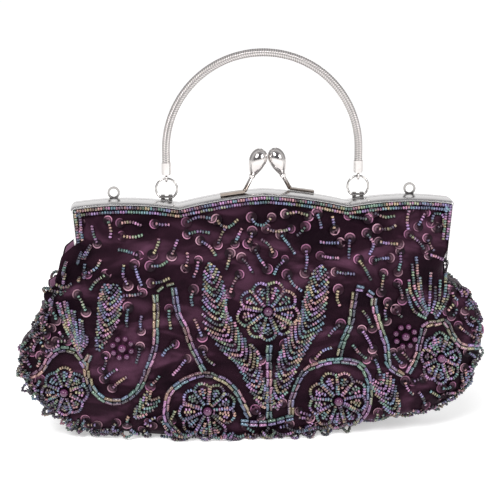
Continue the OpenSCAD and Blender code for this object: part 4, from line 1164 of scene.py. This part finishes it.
# Floor: pale, with a glow that only the camera and reflections see
FLOOR_SIZE = 15000
FLOOR_GLOW = 0.42
floor_mat, tree, shader = material("floor", (0.9, 0.9, 0.9), 0.9, 0.0, {
    "Specular IOR Level": 0, "Emission Color": (*WHITE, 1)})
rays = node(tree, "LightPath", {})
seen = reckon(tree, "MAXIMUM", rays["Is Camera Ray"], rays["Is Glossy Ray"])
wire(shader, {"Emission Strength": reckon(tree, "MULTIPLY", seen, FLOOR_GLOW)})
corners = np.array([[-1, -1, 0], [1, -1, 0], [1, 1, 0], [-1, 1, 0]]) * FLOOR_SIZE
floor = mesh_object("floor", corners, [np.array([[0, 1, 2, 3]])], floor_mat, smooth=False)

# World: white to the camera and dimmer as a light. Metal mirrors a white backdrop behind the clutch, softer
# light at the sides and a dark room in front.
WORLD_LIGHT = 0.42
ROOM = [(0.0, (0.10, 0.10, 0.11)), (0.2, (0.16, 0.15, 0.16)), (0.36, (0.5, 0.5, 0.51)),
        (0.5, (0.85, 0.85, 0.86)), (0.68, (0.45, 0.45, 0.46)), (0.86, (0.25, 0.25, 0.26)), (0.94, WHITE)]
world = bpy.data.worlds.new("world")
bpy.context.scene.world = world
world.use_nodes = True
tree = world.node_tree
rays = node(tree, "LightPath", {})
mirrored = reckon(tree, "MAXIMUM", rays["Is Glossy Ray"], rays["Is Transmission Ray"])
seen = reckon(tree, "MAXIMUM", rays["Is Camera Ray"], mirrored)
way = node(tree, "SeparateXYZ", {0: node(tree, "TexCoord", {})["Generated"]})["Y"]
room = ramp(tree, map_range(tree, way, start=-1), ROOM)
color = node(tree, "Mix", {0: mirrored, 6: (*WHITE, 1), 7: room}, data_type="RGBA")[2]
wire(tree.nodes["Background"], {"Color": color, "Strength": map_range(tree, seen, low=WORLD_LIGHT)})

# Lamps, with places and sizes in metres
LOOK_AT = Vector((0, 0, 0.1))


def area(name, at, size, power):
    data = bpy.data.lights.new(name, "AREA")
    data.shape = "SQUARE"
    data.size = size
    data.energy = power
    ob = bpy.data.objects.new(name, data)
    bpy.context.collection.objects.link(ob)
    ob.location = at
    ob.rotation_euler = (LOOK_AT - Vector(at)).to_track_quat("-Z", "Y").to_euler()


sun = bpy.data.objects.new("sun", bpy.data.lights.new("sun", "SUN"))
sun.data.energy = 1.1
sun.data.angle = math.radians(35)
sun.rotation_euler = (math.radians(38), 0, math.radians(-25))
sun.visible_glossy = False
bpy.context.collection.objects.link(sun)
area("key", (-0.5, -0.9, 0.9), 0.5, 9)
area("fill", (0.7, -0.7, 0.5), 0.4, 4)
